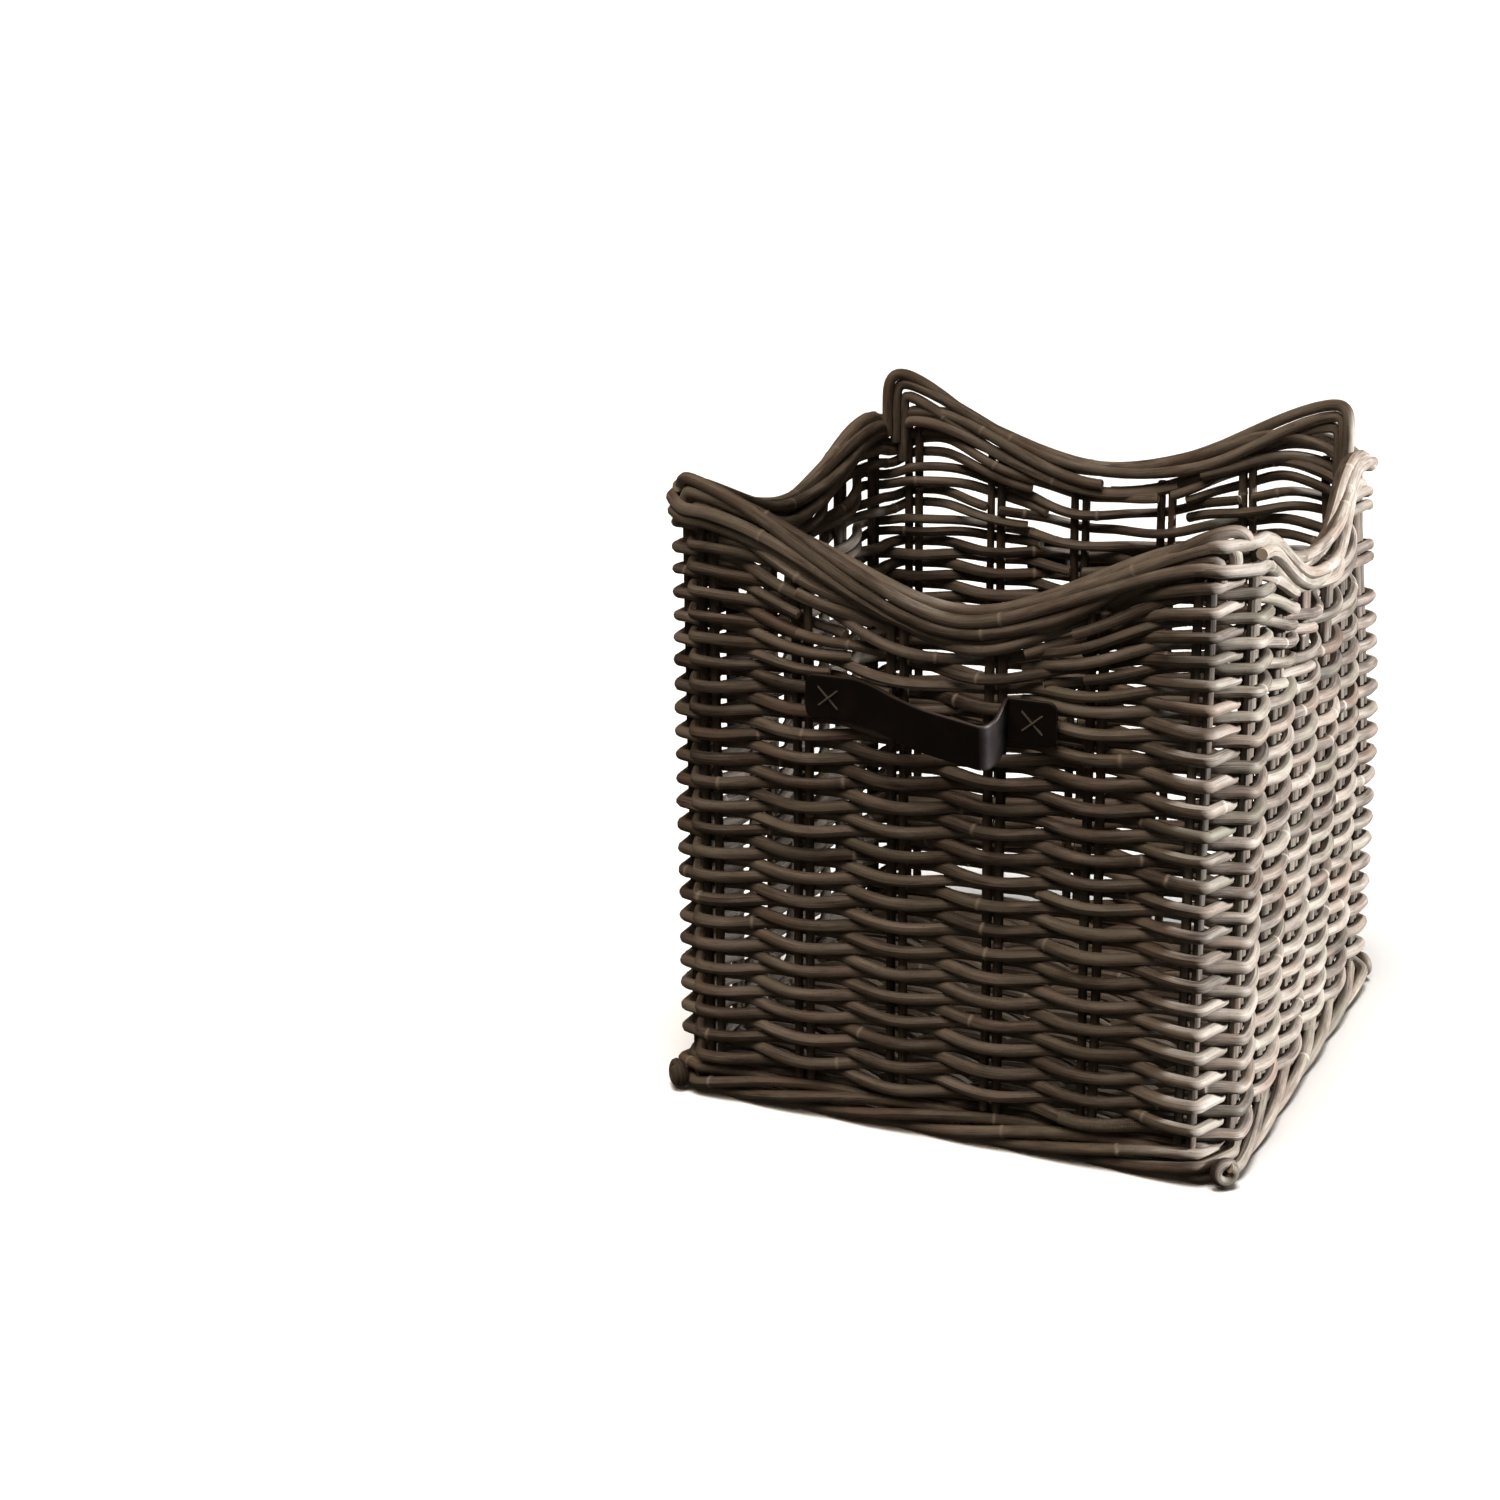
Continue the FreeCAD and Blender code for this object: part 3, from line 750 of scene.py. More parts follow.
@dataclass
class Walls:
    """The woven walls: single canes over and under the stake pairs, fanned out under the ears."""

    line: StakeLine
    wardrobe: Wardrobe
    seed: int = 11
    rows: int = 34
    first_row: float = 36.5 * MM
    row_pitch: float = 10.4 * MM
    radius: float = 5.1 * MM
    radius_spread: float = 0.2 * MM
    depth: float = 8.5 * MM
    arch: float = 3.0 * MM
    arch_corner: float = 0.3
    lean: float = 0.3 * MM
    rim_room: float = 37 * MM
    fan_radius: float = 4.6 * MM
    full_fans: int = 4
    packing: tuple[int, int, int, int] = (2, 1, 1, 2)
    square: float = 1.1
    binding_pitch: float = 1.9 * MM
    binding_rise: float = 0.25 * MM
    binding_span: tuple[float, float] = (3.75, 5.12)
    spacing: float = 2.6 * MM
    end_gap: float = 0.06
    row_wobble: float = 0.35 * MM
    out_wobble: float = 0.25 * MM
    fan_wobble: float = 0.9 * MM
    tone: float = 0.5

    def depth_at(self, q: Array, row: int) -> Array:
        """How far a row lies outside the stake line."""
        wave = np.cos(math.pi * (q + row))
        return self.depth * np.tanh(self.square * wave) / math.tanh(self.square)

    def ends(self, row: int) -> tuple[float, float]:
        """How far a row lies outside the even and the odd stakes."""
        return (self.depth, -self.depth) if row % 2 == 0 else (-self.depth, self.depth)

    def arch_at(self, q: Array, row: int) -> Array:
        """How far a row rises between the stakes and leans across them."""
        corner = np.mod(q, SIDE_STAKES) > SIDE_STAKES - 1
        rise = self.arch * 0.5 * (1 - np.cos(TURN * q)) * np.where(corner, self.arch_corner, 1)
        return rise - self.lean * np.sin(math.pi * (q + row))

    def row_line(self, row: int, q: Array, rng: Rng) -> Array:
        """The middle of a flat row.

        Args:
            row: The row's number from the foot.
            q: Places round the basket.
            rng: The random source.

        Returns:
            Points along the row.
        """
        z = self.first_row + row * self.row_pitch + self.arch_at(q, row) + wander(rng, q, self.row_wobble)
        out = self.depth_at(q, row) + wander(rng, q, self.out_wobble)
        return self.line.woven(q, out, self.ends(row), z)

    def fan_line(self, share: float, row: int, q: Array, rng: Rng) -> Array:
        """The middle of a fanned row.

        Args:
            share: Its share of the height from the last flat row to the rim.
            row: Its number, which says on which side of the stakes it passes.
            q: Places round the basket.
            rng: The random source.

        Returns:
            Points along the row.
        """
        low = self.first_row + (self.rows - 1) * self.row_pitch
        room = self.line.rim_top(q) - self.line.duck(q) - self.rim_room - low
        z = low + share * room + 0.6 * self.arch_at(q, row) + wander(rng, q, self.fan_wobble)
        return self.line.woven(q, self.depth_at(q, row), self.ends(row), z)

    def lap(self, row: int, rng: Rng) -> Array:
        """Places right round the basket, from a stake that the row passes inside."""
        start = 2 * int(rng.integers(0, STAKES // 2)) + (row + 1) % 2
        return self.line.sample(start + self.end_gap, start + STAKES - self.end_gap)

    def build(self) -> None:
        """Builds every row, the fans, the packing canes and the bound cane at the foot."""
        rng = np.random.default_rng(self.seed)
        first = [self.build_row(row, rng) for row in range(self.rows)][0]
        for number in range(self.full_fans):
            bundle = Bundle(rng, spacing=self.spacing)
            row = self.rows + number
            q = self.lap(row, rng)
            points = self.fan_line((number + 1) / self.full_fans, row, q, rng)
            bundle.cane(points, self.fan_radius, toned(rng, self.tone, 0.12))
            self.finish(bundle, f"fan_{number + 1}")
        for number, corner in enumerate(CORNERS):
            self.build_packing(number, corner, rng)
        bundle = Bundle(rng)
        for share, row, end in ((0.88, 37, 2.12), (0.5, 39, 2.05)):
            q = self.line.sample(0.98, end)
            points = self.fan_line(share, row, q, rng)
            points += np.array([0, -1.5 * MM, 0])
            bundle.cane(points, 4.0 * MM, 0.68)
        self.finish(bundle, "front_packing_ends")
        bundle = Bundle(rng, spacing=1 * MM)
        points, q = first
        near = np.mod(q, STAKES)
        bound = points[(near > self.binding_span[0]) & (near < self.binding_span[1])]
        bundle.cane(bound, self.radius + self.binding_rise, 0.52, knot_gap=None, ribs=self.binding_pitch)
        self.finish(bundle, "corner_binding")

    def build_row(self, row: int, rng: Rng) -> tuple[Array, Array]:
        """Builds a flat row.

        Args:
            row: The row's number from the foot.
            rng: The random source.

        Returns:
            The row's points and their places round the basket.
        """
        bundle = Bundle(rng, spacing=self.spacing)
        q = self.lap(row, rng)
        points = self.row_line(row, q, rng)
        radius = self.radius + rng.uniform(-1, 1) * self.radius_spread
        bundle.cane(points, radius, toned(rng, self.tone, 0.13))
        self.finish(bundle, f"weaver_{row + 1:02d}")
        return points, q

    def build_packing(self, number: int, corner: str, rng: Rng) -> None:
        """Builds the short canes that fill the fans out under an ear.

        Args:
            number: The corner's number.
            corner: Its name.
            rng: The random source.
        """
        bundle = Bundle(rng, spacing=self.spacing)
        middle = SIDE_STAKES * (number + 1) - 0.5
        extra = self.packing[number]
        for step in range(self.full_fans):
            for piece in range(extra):
                share = (step + (piece + 1) / (extra + 1)) / self.full_fans
                reach = rng.uniform(1.5, 1.8) if piece else rng.uniform(1.9, 2.3)
                q = self.line.sample(middle - reach, middle + reach * rng.uniform(0.85, 1.15))
                points = self.fan_line(share, self.rows + step + piece, q, rng)
                bundle.cane(points, self.fan_radius - 0.1 * MM, toned(rng, self.tone, 0.15))
        self.finish(bundle, f"{corner}_packing")

    def finish(self, bundle: Bundle, name: str) -> None:
        """Dresses a bundle as weaver cane."""
        self.wardrobe.dress(bundle.piece(name), Slot.WEAVE, WALL_NODES, "basket")


@dataclass
class Stakes:
    """The upright cane pairs, and the stubs of a few that stand up through the rim."""

    line: StakeLine
    wardrobe: Wardrobe
    seed: int = 23
    radius: float = 4.0 * MM
    spread: float = 5.25 * MM
    top_room: float = 22 * MM
    stubs: tuple[int, ...] = (5, 6)
    stub_drop: float = 14 * MM
    tone: float = 0.33

    def build(self) -> None:
        """Builds the 24 pairs."""
        rng = np.random.default_rng(self.seed)
        for number in range(STAKES):
            side = list(Side)[number // SIDE_STAKES]
            node = f"{side.value}_stake_pair_{number % SIDE_STAKES + 1}"
            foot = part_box(node)[0].z
            bundle = Bundle(rng, spacing=6 * MM)
            for sign in (-1, 1):
                around = np.array([number, number + 0.01 * sign])
                scale = abs(float(np.diff(self.line.arc_at(around))[0])) / 0.01
                here = around[:1]
                top = float((self.line.rim_top(here) - self.line.duck(here))[0]) - self.top_room
                if number in self.stubs:
                    top += self.top_room - self.stub_drop * rng.uniform(0.7, 1.2)
                z = np.arange(foot, top, 2 * MM)
                q = number + sign * (self.spread + 0.3 * MM * np.sin(z * 19 + rng.uniform(0, TURN))) / scale
                out = 0.35 * MM * np.sin(z * 14 + rng.uniform(0, TURN))
                radius = self.radius + rng.uniform(-0.25, 0.1) * MM
                tone = toned(rng, self.tone, 0.1)
                bundle.cane(self.line.place(q, out, z), radius, tone, ref=(1, 0.3, 0))
            self.wardrobe.dress(bundle.piece(f"stakes_{number + 1:02d}"), Slot.STAKE, [node], "basket")


@dataclass(frozen=True)
class EarHoop:
    """How a cut strand stands at its two ears.

    Args:
        leg: How far it runs down past its bend.
        rise: How far it stands above the ear.
        out: How far it stands outside the stake line.
    """

    leg: float
    rise: float
    out: float


@dataclass
class Rim:
    """The rolled border: canes laid round each other, looping over the ears."""

    line: StakeLine
    wardrobe: Wardrobe
    seed: int = 37
    radius: float = 5.3 * MM
    core_drop: float = 18 * MM
    ring_out: float = 8.5 * MM
    ring_up: float = 12.5 * MM
    strands: int = 7
    through: tuple[int, ...] = (0, 2, 4, 5)
    stakes_per_turn: float = 14
    tail: float = 16 * MM
    swing: float = 2 * MM
    hoop_pitch: float = 10.4 * MM
    hoop_reach: float = 140 * MM
    hoop_bend: tuple[float, float, float] = (13 * MM, 10 * MM, 8 * MM)
    hoops: dict[Side, EarHoop] = field(
        default_factory=lambda: {
            Side.FRONT: EarHoop(34 * MM, -5 * MM, 4 * MM),
            Side.BACK: EarHoop(78 * MM, 3 * MM, -8 * MM),
        }
    )

    def angle(self, number: int, q: Array, rng: Rng) -> Array:
        """A strand's angle round the border's middle at places q."""
        return TURN * (number / self.strands - q / self.stakes_per_turn) + wander(rng, q, 0.16, (3, 7, 11))

    def strand(self, number: int, q: Array, rng: Rng) -> Array:
        """The middle of one strand of the border."""
        angle = self.angle(number, q, rng)
        out = self.ring_out * np.cos(angle) + self.swing * self.line.near_corner(q)
        z = self.line.rim_top(q) - self.core_drop + self.ring_up * np.sin(angle) - self.line.duck(q)
        return self.line.place(q, out, z)

    def hoop(self, number: int, layer: int, turn: int, rng: Rng) -> Array:
        """The middle of a strand that bends straight down at both of its side's ears.

        Args:
            number: The strand's number.
            layer: Its place in the nest of hoops, 0 for the outermost.
            turn: The side's number.
            rng: The random source.

        Returns:
            Points along the strand.
        """
        shape = self.hoops[list(Side)[turn]]
        corners = self.line.arc_at(np.array([SIDE_STAKES * turn - 0.5, SIDE_STAKES * (turn + 1) - 0.5]))
        inset = self.hoop_pitch * (layer - 0.8)
        arc = np.arange(corners[0] + inset, corners[1] - inset, CLOSE)
        q = self.line.q_at(arc)
        angle = self.angle(number, q, rng)
        near = smooth(1 - np.minimum(arc - corners[0], corners[1] - arc) / self.hoop_reach)
        out = (1 - near) * self.ring_out * np.cos(angle) + near * shape.out
        low = self.core_drop - self.ring_up * np.sin(angle)
        drop = (1 - near) * low + near * (self.hoop_pitch * layer - shape.rise)
        line = self.line.place(q, out, self.line.rim_top(q) - drop)
        bend = self.hoop_bend[layer]
        leg = np.arange(shape.leg * rng.uniform(0.85, 1.1) + bend, 0, -CLOSE)
        legs = [end + np.array([0, 0, -1]) * leg[:, None] for end in (line[0], line[-1])]
        return blurred(np.concatenate([legs[0], line, legs[1][::-1]]), bend)

    def build(self) -> None:
        """Builds the strands that go right round, then the cut ones on each side."""
        rng = np.random.default_rng(self.seed)
        for number in self.through:
            bundle = Bundle(rng)
            start = rng.uniform(12.2, 16.8)
            q = self.line.sample(start, start + STAKES - 0.05)
            bundle.cane(self.strand(number, q, rng), self.radius, toned(rng, 0.58, 0.1))
            self.wardrobe.dress(bundle.piece(f"border_{number + 1}"), Slot.RIM, RIM_NODES, "basket")
        for turn, side in enumerate(Side):
            bundle = Bundle(rng)
            for layer, number in enumerate([n for n in range(self.strands) if n not in self.through]):
                if side in self.hoops:
                    level = (0.0, 1.0, 0.0)
                    points = self.hoop(number, layer, turn, rng)
                else:
                    level = (0.35, 0.35, 1.0)
                    first = SIDE_STAKES * turn - 0.06
                    q = self.line.sample(first, first + SIDE_STAKES - 1 + 0.12)
                    points = self.tails(self.strand(number, q, rng), rng)
                bundle.cane(points, self.radius - 0.2 * MM, toned(rng, 0.6, 0.12), ref=level)
            ears = [f"{c}_rim_ear" for c in CORNERS if side.value in c]
            nodes = [f"{side.value}_rim_border", *ears]
            self.wardrobe.dress(bundle.piece(f"{side.value}_border_ends"), Slot.RIM, nodes, "basket")

    def tails(self, points: Array, rng: Rng) -> Array:
        """Carries a strand straight on past both ears.

        Args:
            points: The strand.
            rng: The random source.

        Returns:
            The strand with both tails.
        """
        for _ in ("end", "start"):
            points = points[::-1]
            ahead = points[-1] - points[-12]
            ahead[2] *= 0.5
            ahead /= np.linalg.norm(ahead)
            steps = np.arange(1, int(self.tail * rng.uniform(0.85, 1.15) / MM))[:, None] * MM
            points = np.concatenate([points, points[-1] + steps * ahead])
        return points


@dataclass
class Foot:
    """The roped foot border, with the cane's end curled under each corner."""

    line: StakeLine
    wardrobe: Wardrobe
    seed: int = 41
    strands: int = 4
    radius: float = 5.0 * MM
    helix: float = 9.0 * MM
    centre: float = 14.6 * MM
    proud: float = 2.5 * MM
    turns: int = 6
    curl: float = 8.0 * MM
    curl_wide: float = 1.1
    curl_rod: float = 4.9 * MM
    curl_tone: float = 0.3
    curl_in: float = 19 * MM
    curl_up: float = 14.5 * MM
    curl_shrink: float = 1.6 * MM
    curl_advance: float = 4.5 * MM

    def build(self) -> None:
        """Builds the rope's strands and the four curls."""
        rng = np.random.default_rng(self.seed)
        for number in range(self.strands):
            bundle = Bundle(rng)
            start = rng.uniform(13, 17)
            q = self.line.sample(start, start + STAKES - 0.04)
            angle = TURN * (number / self.strands + self.turns * q / STAKES)
            angle += wander(rng, q, 0.12, (3, 7, 11))
            out = self.proud + self.helix * np.cos(angle)
            z = self.centre + self.helix * np.sin(angle) * 0.98
            z = np.maximum(z, self.radius + 0.9 * MM)
            bundle.cane(self.line.place(q, out, z), self.radius, toned(rng, 0.48, 0.1))
            self.wardrobe.dress(bundle.piece(f"foot_strand_{number + 1}"), Slot.FOOT, FOOT_NODES, "basket")
        for number, corner in enumerate(CORNERS):
            bundle = Bundle(rng, spacing=2 * MM)
            low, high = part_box(f"{corner}_foot_corner")
            across = Vector((1 if "right" in corner else -1, 1 if "back" in corner else -1, 0)).normalized()
            beside = Vector((-across.y, across.x, 0))
            outer = Vector((max(abs(low.x), abs(high.x)), max(abs(low.y), abs(high.y)), 0))
            corner_point = Vector((math.copysign(outer.x, across.x), math.copysign(outer.y, across.y), 0))
            middle = corner_point - across * self.curl_in
            angle = np.linspace(-0.2, 1.18, 90) * TURN
            size = self.curl - self.curl_shrink * angle / TURN
            points = [
                middle
                + beside * (self.curl_wide * r * math.cos(a))
                + across * (self.curl_advance * a / TURN)
                + Vector((0, 0, self.curl_up + r * math.sin(a)))
                for a, r in zip(angle, size)
            ]
            bundle.cane(np.array(points), self.curl_rod, self.curl_tone, ref=tuple(across), knot_gap=None)
            piece = bundle.piece(f"{corner}_curl")
            self.wardrobe.dress(piece, Slot.FOOT, [f"{corner}_foot_corner"], "basket")


@dataclass
class Base:
    """The flat woven base: canes over and under six pairs of sticks."""

    line: StakeLine
    wardrobe: Wardrobe
    seed: int = 53
    pitch: float = 8.3 * MM
    radius: float = 4.15 * MM
    depth: float = 8.2 * MM
    inset: float = 9 * MM
    pairs: int = 6
    stick_apart: float = 5.2 * MM
    edge_in: float = 8 * MM
    edge_up: float = 27 * MM

    def build(self) -> None:
        """Builds the base canes and the sticks under them."""
        rng = np.random.default_rng(self.seed)
        low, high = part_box("base_stick_pairs")
        middle = (low.z + high.z) / 2
        reach_x = self.line.half_x - self.inset
        reach_y = self.line.half_y - self.inset - self.radius
        stick_gap = (high.x - low.x - 4 * self.radius) / (self.pairs - 1)
        x = np.arange(-reach_x, reach_x, 1.5 * MM)
        canes = Bundle(rng, sides=8, spacing=4.5 * MM)
        for number, y in enumerate(np.arange(-reach_y, reach_y, self.pitch)):
            wave = np.cos(math.pi * (x / stick_gap + 0.5 + number))
            z = middle + self.depth * np.tanh(1.3 * wave) / math.tanh(1.3)
            points = np.stack([x, np.full_like(x, y) + 0.4 * MM * np.sin(x * 17 + number), z], axis=1)
            canes.cane(points, self.radius, toned(rng, 0.45, 0.14))
        edge = self.line.place(self.line.sample(6.4, 6.35 + STAKES), -self.edge_in, self.edge_up)
        canes.cane(edge, self.radius + 0.3 * MM, 0.4)
        self.wardrobe.dress(canes.piece("base_canes"), Slot.WEAVE, ["base_weave"], "basket")
        sticks = Bundle(rng, sides=8, spacing=8 * MM)
        y = np.arange(low.y, high.y, 4 * MM)
        for pair in range(self.pairs):
            for side in (-1, 1):
                at = (pair - (self.pairs - 1) / 2) * stick_gap + side * self.stick_apart
                points = np.stack([np.full_like(y, at), y, np.full_like(y, middle)], axis=1)
                sticks.cane(points, self.radius, 0.42, ref=(0, 0, 1))
        self.wardrobe.dress(sticks.piece("base_sticks"), Slot.STAKE, ["base_stick_pairs"], "basket")


@dataclass
class Handle:
    """A leather strap sewn to the wall at both ends, bowing out further at its right end and drooping."""

    side: Side
    wardrobe: Wardrobe
    seed: int = 61
    width: float = 38 * MM
    thick: float = 3.3 * MM
    clearance: float = 1.0 * MM
    tab_corner: float = 8 * MM
    bevel: float = 1.0 * MM
    droop: float = math.radians(6)
    sag: float = 11 * MM
    pivot: float = 8 * MM
    droop_start: float = 3 * MM
    droop_span: float = 20 * MM
    stitch: float = 27 * MM
    ply: float = 0.55 * MM
    lay: float = 3.6 * MM
    stitch_cross: float = 1.3 * MM
    stitch_sink: float = 2.6 * MM
    fall_start: float = -62 * MM
    fall_span: float = 120 * MM
    blend_out: tuple[float, float] = (6 * MM, 26 * MM)
    route: tuple[tuple[float, float, float], ...] = (
        (-106.5, 0, 0),
        (-66.5, 0, 40),
        (4, 28, 80),
        (58.5, 36.3, 6),
        (64.5, 0, 5.2),
        (106.5, 0, 0),
    )

    def __post_init__(self) -> None:
        """Reads the strap's place from the CAD model."""
        low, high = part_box(f"{self.side.value}_handle_left_end")
        self.wall = min(abs(low.y), abs(high.y))
        self.height = (low.z + high.z) / 2
        self.turn = 1 if self.side is Side.FRONT else -1
        ends = [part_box(f"{self.side.value}_handle_{label}_end") for label in ("left", "right")]
        self.shift = self.turn * (min(e[0].x for e in ends) + max(e[1].x for e in ends)) / 2

    def world(self, x: Array, out: Array, z: Array) -> Array:
        """Turns distances along, out from and up the wall to points in the frame."""
        return np.stack([self.turn * x, -self.turn * (self.wall + out), z], axis=-1)

    def rounded(self) -> Array:
        """The strap's line in plan, with its bends rounded.

        Returns:
            Close points, each a distance along and out from the wall.
        """
        points = np.array([(x, out) for x, out, _ in self.route]) * MM + np.array([self.shift, 0])
        radii = [r * MM for _, _, r in self.route]
        made = [points[0]]
        for k in range(1, len(points) - 1):
            back = points[k - 1] - points[k]
            on = points[k + 1] - points[k]
            back /= np.linalg.norm(back)
            on /= np.linalg.norm(on)
            half = math.acos(float(np.clip(back @ on, -1, 1))) / 2
            cut = radii[k] / math.tan(half)
            middle = (back + on) / np.linalg.norm(back + on)
            centre = points[k] + middle * radii[k] / math.sin(half)
            first, last = points[k] + back * cut - centre, points[k] + on * cut - centre
            sweep = math.pi - 2 * half
            for share in np.linspace(0, 1, 24):
                arm = first * math.sin((1 - share) * sweep) + last * math.sin(share * sweep)
                made.append(centre + arm / math.sin(sweep))
        made.append(points[-1])
        line = np.array(made)
        run = run_of(line)
        even = np.linspace(0, run[-1], int(run[-1] / (1.4 * MM)))
        fine = np.linspace(0, 8 * MM, 12)
        even = np.sort(np.concatenate([even, fine, run[-1] - fine]))
        even = even[np.concatenate([[True], np.diff(even) > 0.05 * MM])]
        return np.stack([np.interp(even, run, line[:, 0]), np.interp(even, run, line[:, 1]), even], axis=1)

    def section(self) -> Array:
        """The strap's cross-section.

        Returns:
            Points as (share of half width, bevel inset, offset through the thickness, edge).
        """
        half = self.thick / 2
        faces = np.linspace(-1, 1, 15)
        points = [(w, 1.0, half, 0.0) for w in faces]
        points += [(1, 0.35, half * 0.72, 1.0), (1, 0.0, 0.0, 1.0), (1, 0.35, -half * 0.72, 1.0)]
        points += [(w, 1.0, -half, 0.0) for w in faces[::-1]]
        points += [(-1, 0.35, -half * 0.72, 1.0), (-1, 0.0, 0.0, 1.0), (-1, 0.35, half * 0.72, 1.0)]
        return np.array(points)

    def strap(self) -> Thing:
        """Builds the strap as one closed loft, tabs and bow together."""
        line = self.rounded()
        run, length = line[:, 2], line[-1, 2]
        ahead = np.gradient(line[:, :2], axis=0)
        ahead /= np.linalg.norm(ahead, axis=1)[:, None]
        normal = np.stack([-ahead[:, 1], ahead[:, 0]], axis=1)
        middle = line[:, :2] + normal * self.thick / 2 + np.array([0, self.clearance])
        end = np.minimum(run, length - run)
        near = np.clip(end, 0, self.tab_corner)
        half = self.width / 2 - self.tab_corner + np.sqrt(self.tab_corner**2 - (self.tab_corner - near) ** 2)
        shape = self.section()
        share = shape[None, :, 0]
        bevelled = self.bevel * shape[None, :, 1] * (np.abs(share) > 0.99)
        wide = share * half[:, None] - np.sign(share) * bevelled
        waist = 0.35 * MM * np.sin(run * 60)[:, None] * (1 - np.abs(share))
        deep = shape[None, :, 2] + waist * 0.5
        x = middle[:, None, 0] + normal[:, None, 0] * deep
        out = middle[:, None, 1] + normal[:, None, 1] * deep
        tilt = self.droop * smooth((out - self.droop_start) / self.droop_span)
        arm = out - self.pivot
        along = np.clip((x - self.shift - self.fall_start) / self.fall_span, 0, 1)
        fall = self.sag * along * smooth((out - self.droop_start) / self.droop_span)
        z = self.height + wide * np.cos(tilt) - arm * np.sin(tilt) - fall
        lean = self.pivot + arm * np.cos(tilt) + wide * np.sin(tilt)
        verts = self.world(x, lean, z).reshape(-1, 3)
        count, around = len(line), len(shape)
        quads = np.roll(tube(count, around)[:, ::-1], 1, axis=1)
        last = (count - 1) * around
        faces = [tuple(q) for q in quads.tolist()]
        faces += [tuple(range(around)), tuple(last + j for j in reversed(range(around)))]
        hide = np.stack([np.broadcast_to(run[:, None], wide.shape), wide, deep], axis=2)
        edge = np.maximum(np.broadcast_to(shape[None, :, 3], wide.shape), (end < 0.3 * MM)[:, None])
        fields = {"hide": hide.reshape(-1, 3), "edge": edge.ravel()}
        return meshed(f"{self.side.value}_strap", verts, faces, 50, fields)

    def cross(self, name: str, x: float, rng: Rng) -> Thing:
        """Builds a cross stitch of two-ply thread.

        Args:
            name: The piece's name.
            x: Its middle along the wall.
            rng: The random source.

        Returns:
            The stitch, not yet dressed.
        """
        bundle = Bundle(rng, sides=8, spacing=0.8 * MM, chamfer=0.1 * MM)
        for layer, (tilt, length) in enumerate(((-46, self.stitch), (40, self.stitch * 0.86))):
            share = np.linspace(-1, 1, 160)
            along = share * length / 2
            over = layer * self.stitch_cross * (1 - smooth(np.abs(share) * 2.2))
            top = self.clearance + self.thick + self.ply + over
            sink = self.stitch_sink * smooth((np.abs(share) - 0.86) / 0.14)
            angle = math.radians(tilt)
            for ply in (0, 1):
                twist = TURN * along / self.lay + math.pi * ply
                side = self.ply * 0.85 * np.cos(twist)
                points = self.world(
                    x + along * math.cos(angle) - side * math.sin(angle),
                    top - sink + self.ply * 0.85 * np.sin(twist),
                    self.height + along * math.sin(angle) + side * math.cos(angle),
                )
                bundle.cane(points, self.ply, 0.5, ref=(0.1, 1, 0), knot_gap=None)
        return bundle.piece(name)

    def build(self) -> None:
        """Builds and dresses the strap and its two stitches."""
        rng = np.random.default_rng(self.seed + (self.turn < 0))
        name = self.side.value
        strap = self.strap()
        nodes = [f"{name}_handle_strap", f"{name}_handle_left_end", f"{name}_handle_right_end"]
        self.wardrobe.dress(strap, Slot.LEATHER, nodes, None)
        zero, height = np.array(0.0), np.array(self.height)
        start, end = (self.world(zero, np.array(out), height) for out in self.blend_out)
        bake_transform(strap)
        for label in ("left", "right"):
            node = f"{name}_handle_{label}_stitch"
            low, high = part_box(node)
            middle = self.turn * (low.x + high.x) / 2
            stitch = self.cross(f"{name}_{label}_stitch", middle, rng)
            self.wardrobe.dress(stitch, Slot.THREAD, [node], "basket")


@dataclass(frozen=True)
class Sun:
    """A distant light.

    Args:
        name: Its name.
        azimuth: Where it stands, in degrees from the front towards the right.
        elevation: Its height above the horizon, in degrees.
        power: Its strength.
        spread: Its apparent size, in degrees.
        tint: Its colour.
    """

    name: str
    azimuth: float
    elevation: float
    power: float
    spread: float
    tint: str

    def hang(self) -> Thing:
        """Adds the light to the scene."""
        data = bpy.data.lights.new(self.name, "SUN")
        data.energy, data.angle, data.color = self.power, math.radians(self.spread), colour(self.tint)[:3]
        made = linked(self.name, data)
        a, e = math.radians(self.azimuth), math.radians(self.elevation)
        to = Vector((math.sin(a) * math.cos(e), -math.cos(a) * math.cos(e), math.sin(e)))
        made.rotation_mode = "QUATERNION"
        made.rotation_quaternion = to.to_track_quat("Z", "Y")
        return made


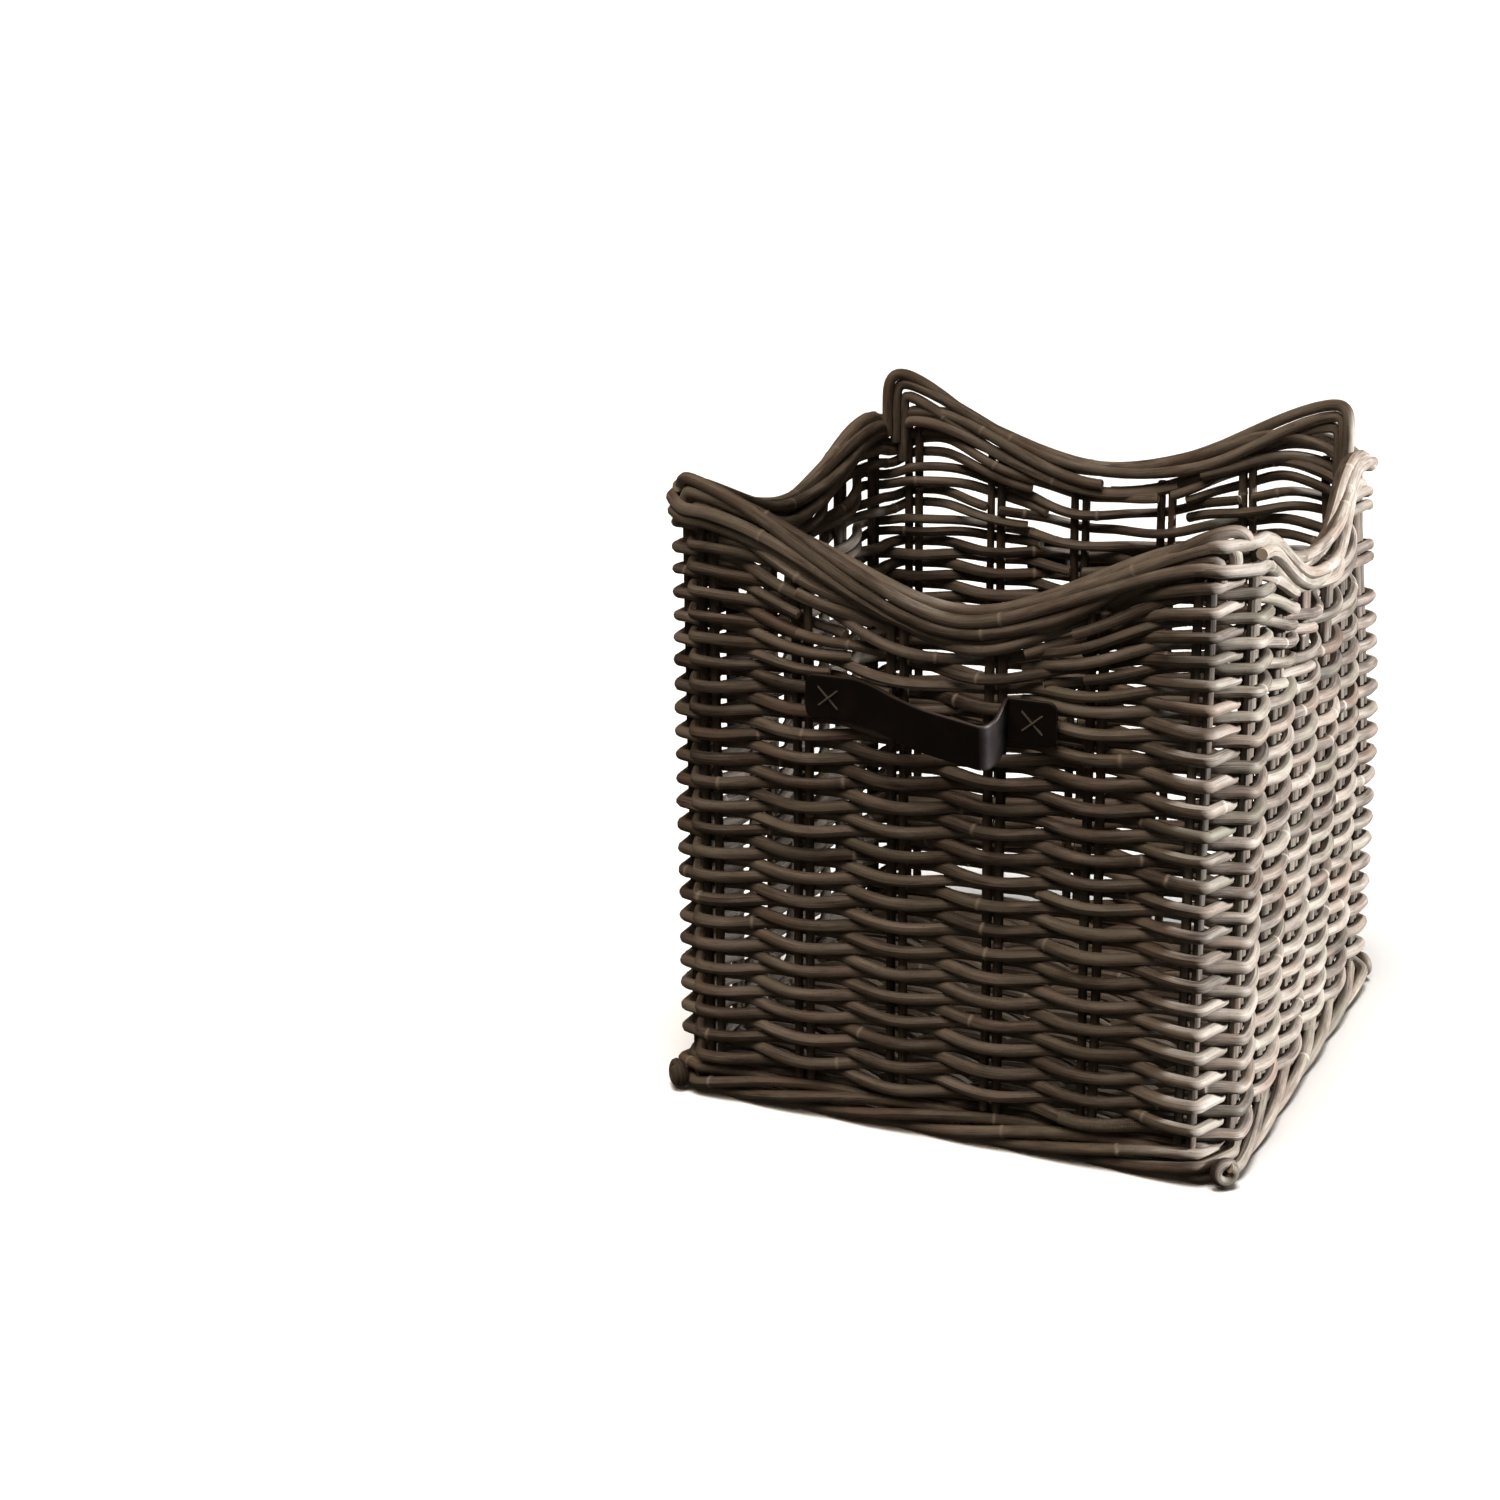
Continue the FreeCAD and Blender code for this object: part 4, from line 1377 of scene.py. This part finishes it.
@dataclass
class Studio:
    """A white floor, a low key light from the right, a soft top light and the camera."""

    line: StakeLine
    floor_half: float = 60.0
    camera_at: tuple[float, float, float] = (0.786, -2.294, 1.082)
    yaw: float = math.radians(24.88)
    pitch: float = math.radians(-18.59)
    roll: float = math.radians(-0.78)
    lens: float = 69.96
    key: Sun = Sun("key", 98.0, 19.0, 10.5, 7, "#fbfcff")
    wash: Sun = Sun("floor_wash", 20, 80, 3.7, 30, "#ffffff")
    top: Sun = Sun("top", -15, 64, 1.32, 40, "#ffe9d4")
    flag_x: float = 0.4
    flag_half: float = 0.36
    flag_top: float = 0.9
    flag_room: float = 5 * MM
    fill: float = 0.05
    fill_tint: str = "#ffe9d4"

    def floor(self) -> Thing:
        """Lays the floor."""
        half = self.floor_half
        mesh = bpy.data.meshes.new("floor")
        corners = [(-half, -half, 0), (half, -half, 0), (half, half, 0), (-half, half, 0)]
        mesh.from_pydata(corners, [], [(0, 1, 2, 3)])
        made = linked("floor", mesh)
        mesh.materials.append(FloorFinish().material())
        made.visible_diffuse = False
        made.visible_glossy = False
        return made

    def flag(self) -> Thing:
        """Hangs a black flag, cut to the right rim, that keeps the key light off the inside."""
        line = self.line
        q = np.linspace(SIDE_STAKES - 0.5, 2 * SIDE_STAKES - 0.5, 60)
        y = line.place(q, 0.0, 0.0)[:, 1]
        climb = (self.flag_x - line.half_x) * math.tan(math.radians(self.key.elevation))
        low = line.rim_top(q) + climb + self.flag_room
        y = np.concatenate([[-self.flag_half], y, [self.flag_half]])
        low = np.concatenate([low[:1], low, low[-1:]])
        verts = [(self.flag_x, a, b) for a, b in zip(y, low)] + [(self.flag_x, a, self.flag_top) for a in y]
        faces = [(k, k + 1, len(y) + k + 1, len(y) + k) for k in range(len(y) - 1)]
        mesh = bpy.data.meshes.new("flag")
        mesh.from_pydata(verts, [], faces)
        made = linked("flag", mesh)
        mesh.materials.append(FloorFinish("black_flag_cloth", "#0a0a0a").material())
        for ray in ("camera", "diffuse", "glossy", "transmission"):
            setattr(made, f"visible_{ray}", False)
        return made

    @staticmethod
    def only(light: Thing, thing: Thing, state: str, blocks: bool = False) -> None:
        """Makes a light reach, or be blocked by, only one thing or all but it.

        Args:
            light: The light.
            thing: The thing.
            state: INCLUDE for only the thing, EXCLUDE for all but it.
            blocks: Whether this is about what blocks the light, and not what it reaches.
        """
        group = bpy.data.collections.new(light.name + ("_blockers" if blocks else "_reach"))
        group.objects.link(thing)
        if blocks:
            light.light_linking.blocker_collection = group
        else:
            light.light_linking.receiver_collection = group
        group.collection_objects[0].light_linking.link_state = state

    def lights(self, floor: Thing) -> None:
        """Adds the lights and the dim room."""
        key, wash, top = (sun.hang() for sun in (self.key, self.wash, self.top))
        self.only(key, floor, "EXCLUDE")
        self.only(wash, floor, "INCLUDE")
        flag = self.flag()
        self.only(wash, flag, "EXCLUDE", blocks=True)
        self.only(top, flag, "EXCLUDE", blocks=True)
        world = bpy.data.worlds.new("room")
        bpy.context.scene.world = world
        world.use_nodes = True
        tree = world.node_tree
        tree.nodes.clear()
        room = add(tree, "Background", Color=colour(self.fill_tint), Strength=self.fill)
        tree.links.new(room.outputs[0], add(tree, "OutputWorld").inputs["Surface"])

    def camera(self) -> None:
        """Stands the camera to the right of the front, looking down."""
        data = bpy.data.cameras.new("camera")
        data.lens, data.sensor_width, data.sensor_fit = self.lens, 36, "HORIZONTAL"
        data.clip_end = 400
        made = linked("camera", data)
        level = Vector((math.cos(self.yaw), math.sin(self.yaw), 0))
        forward = Vector((-level.y, level.x, 0))
        ahead = forward * math.cos(self.pitch) + Vector((0, 0, math.sin(self.pitch)))
        above = level.cross(ahead)
        right = level * math.cos(self.roll) + above * math.sin(self.roll)
        up = above * math.cos(self.roll) - level * math.sin(self.roll)
        turn = Matrix((right, up, -ahead)).transposed()
        made.matrix_world = Matrix.Translation(Vector(self.camera_at)) @ turn.to_4x4()
        bpy.context.scene.camera = made

    def build(self) -> None:
        """Builds the studio."""
        floor = self.floor()
        self.lights(floor)
        self.camera()
        view = bpy.context.scene.view_settings
        view.view_transform, view.look, view.exposure = "Standard", "None", 0.0


def main() -> None:
    """Builds the basket and its studio."""
    logging.basicConfig(level=logging.INFO, format="%(name)s: %(message)s")
    line = StakeLine()
    wardrobe = Wardrobe()
    for part in (
        Walls(line, wardrobe),
        Stakes(line, wardrobe),
        Rim(line, wardrobe),
        Foot(line, wardrobe),
        Base(line, wardrobe),
        Handle(Side.FRONT, wardrobe),
        Handle(Side.BACK, wardrobe),
        Studio(line),
    ):
        part.build()
        LOG.info("%s done", type(part).__name__)


if __name__ == "__main__":
    main()
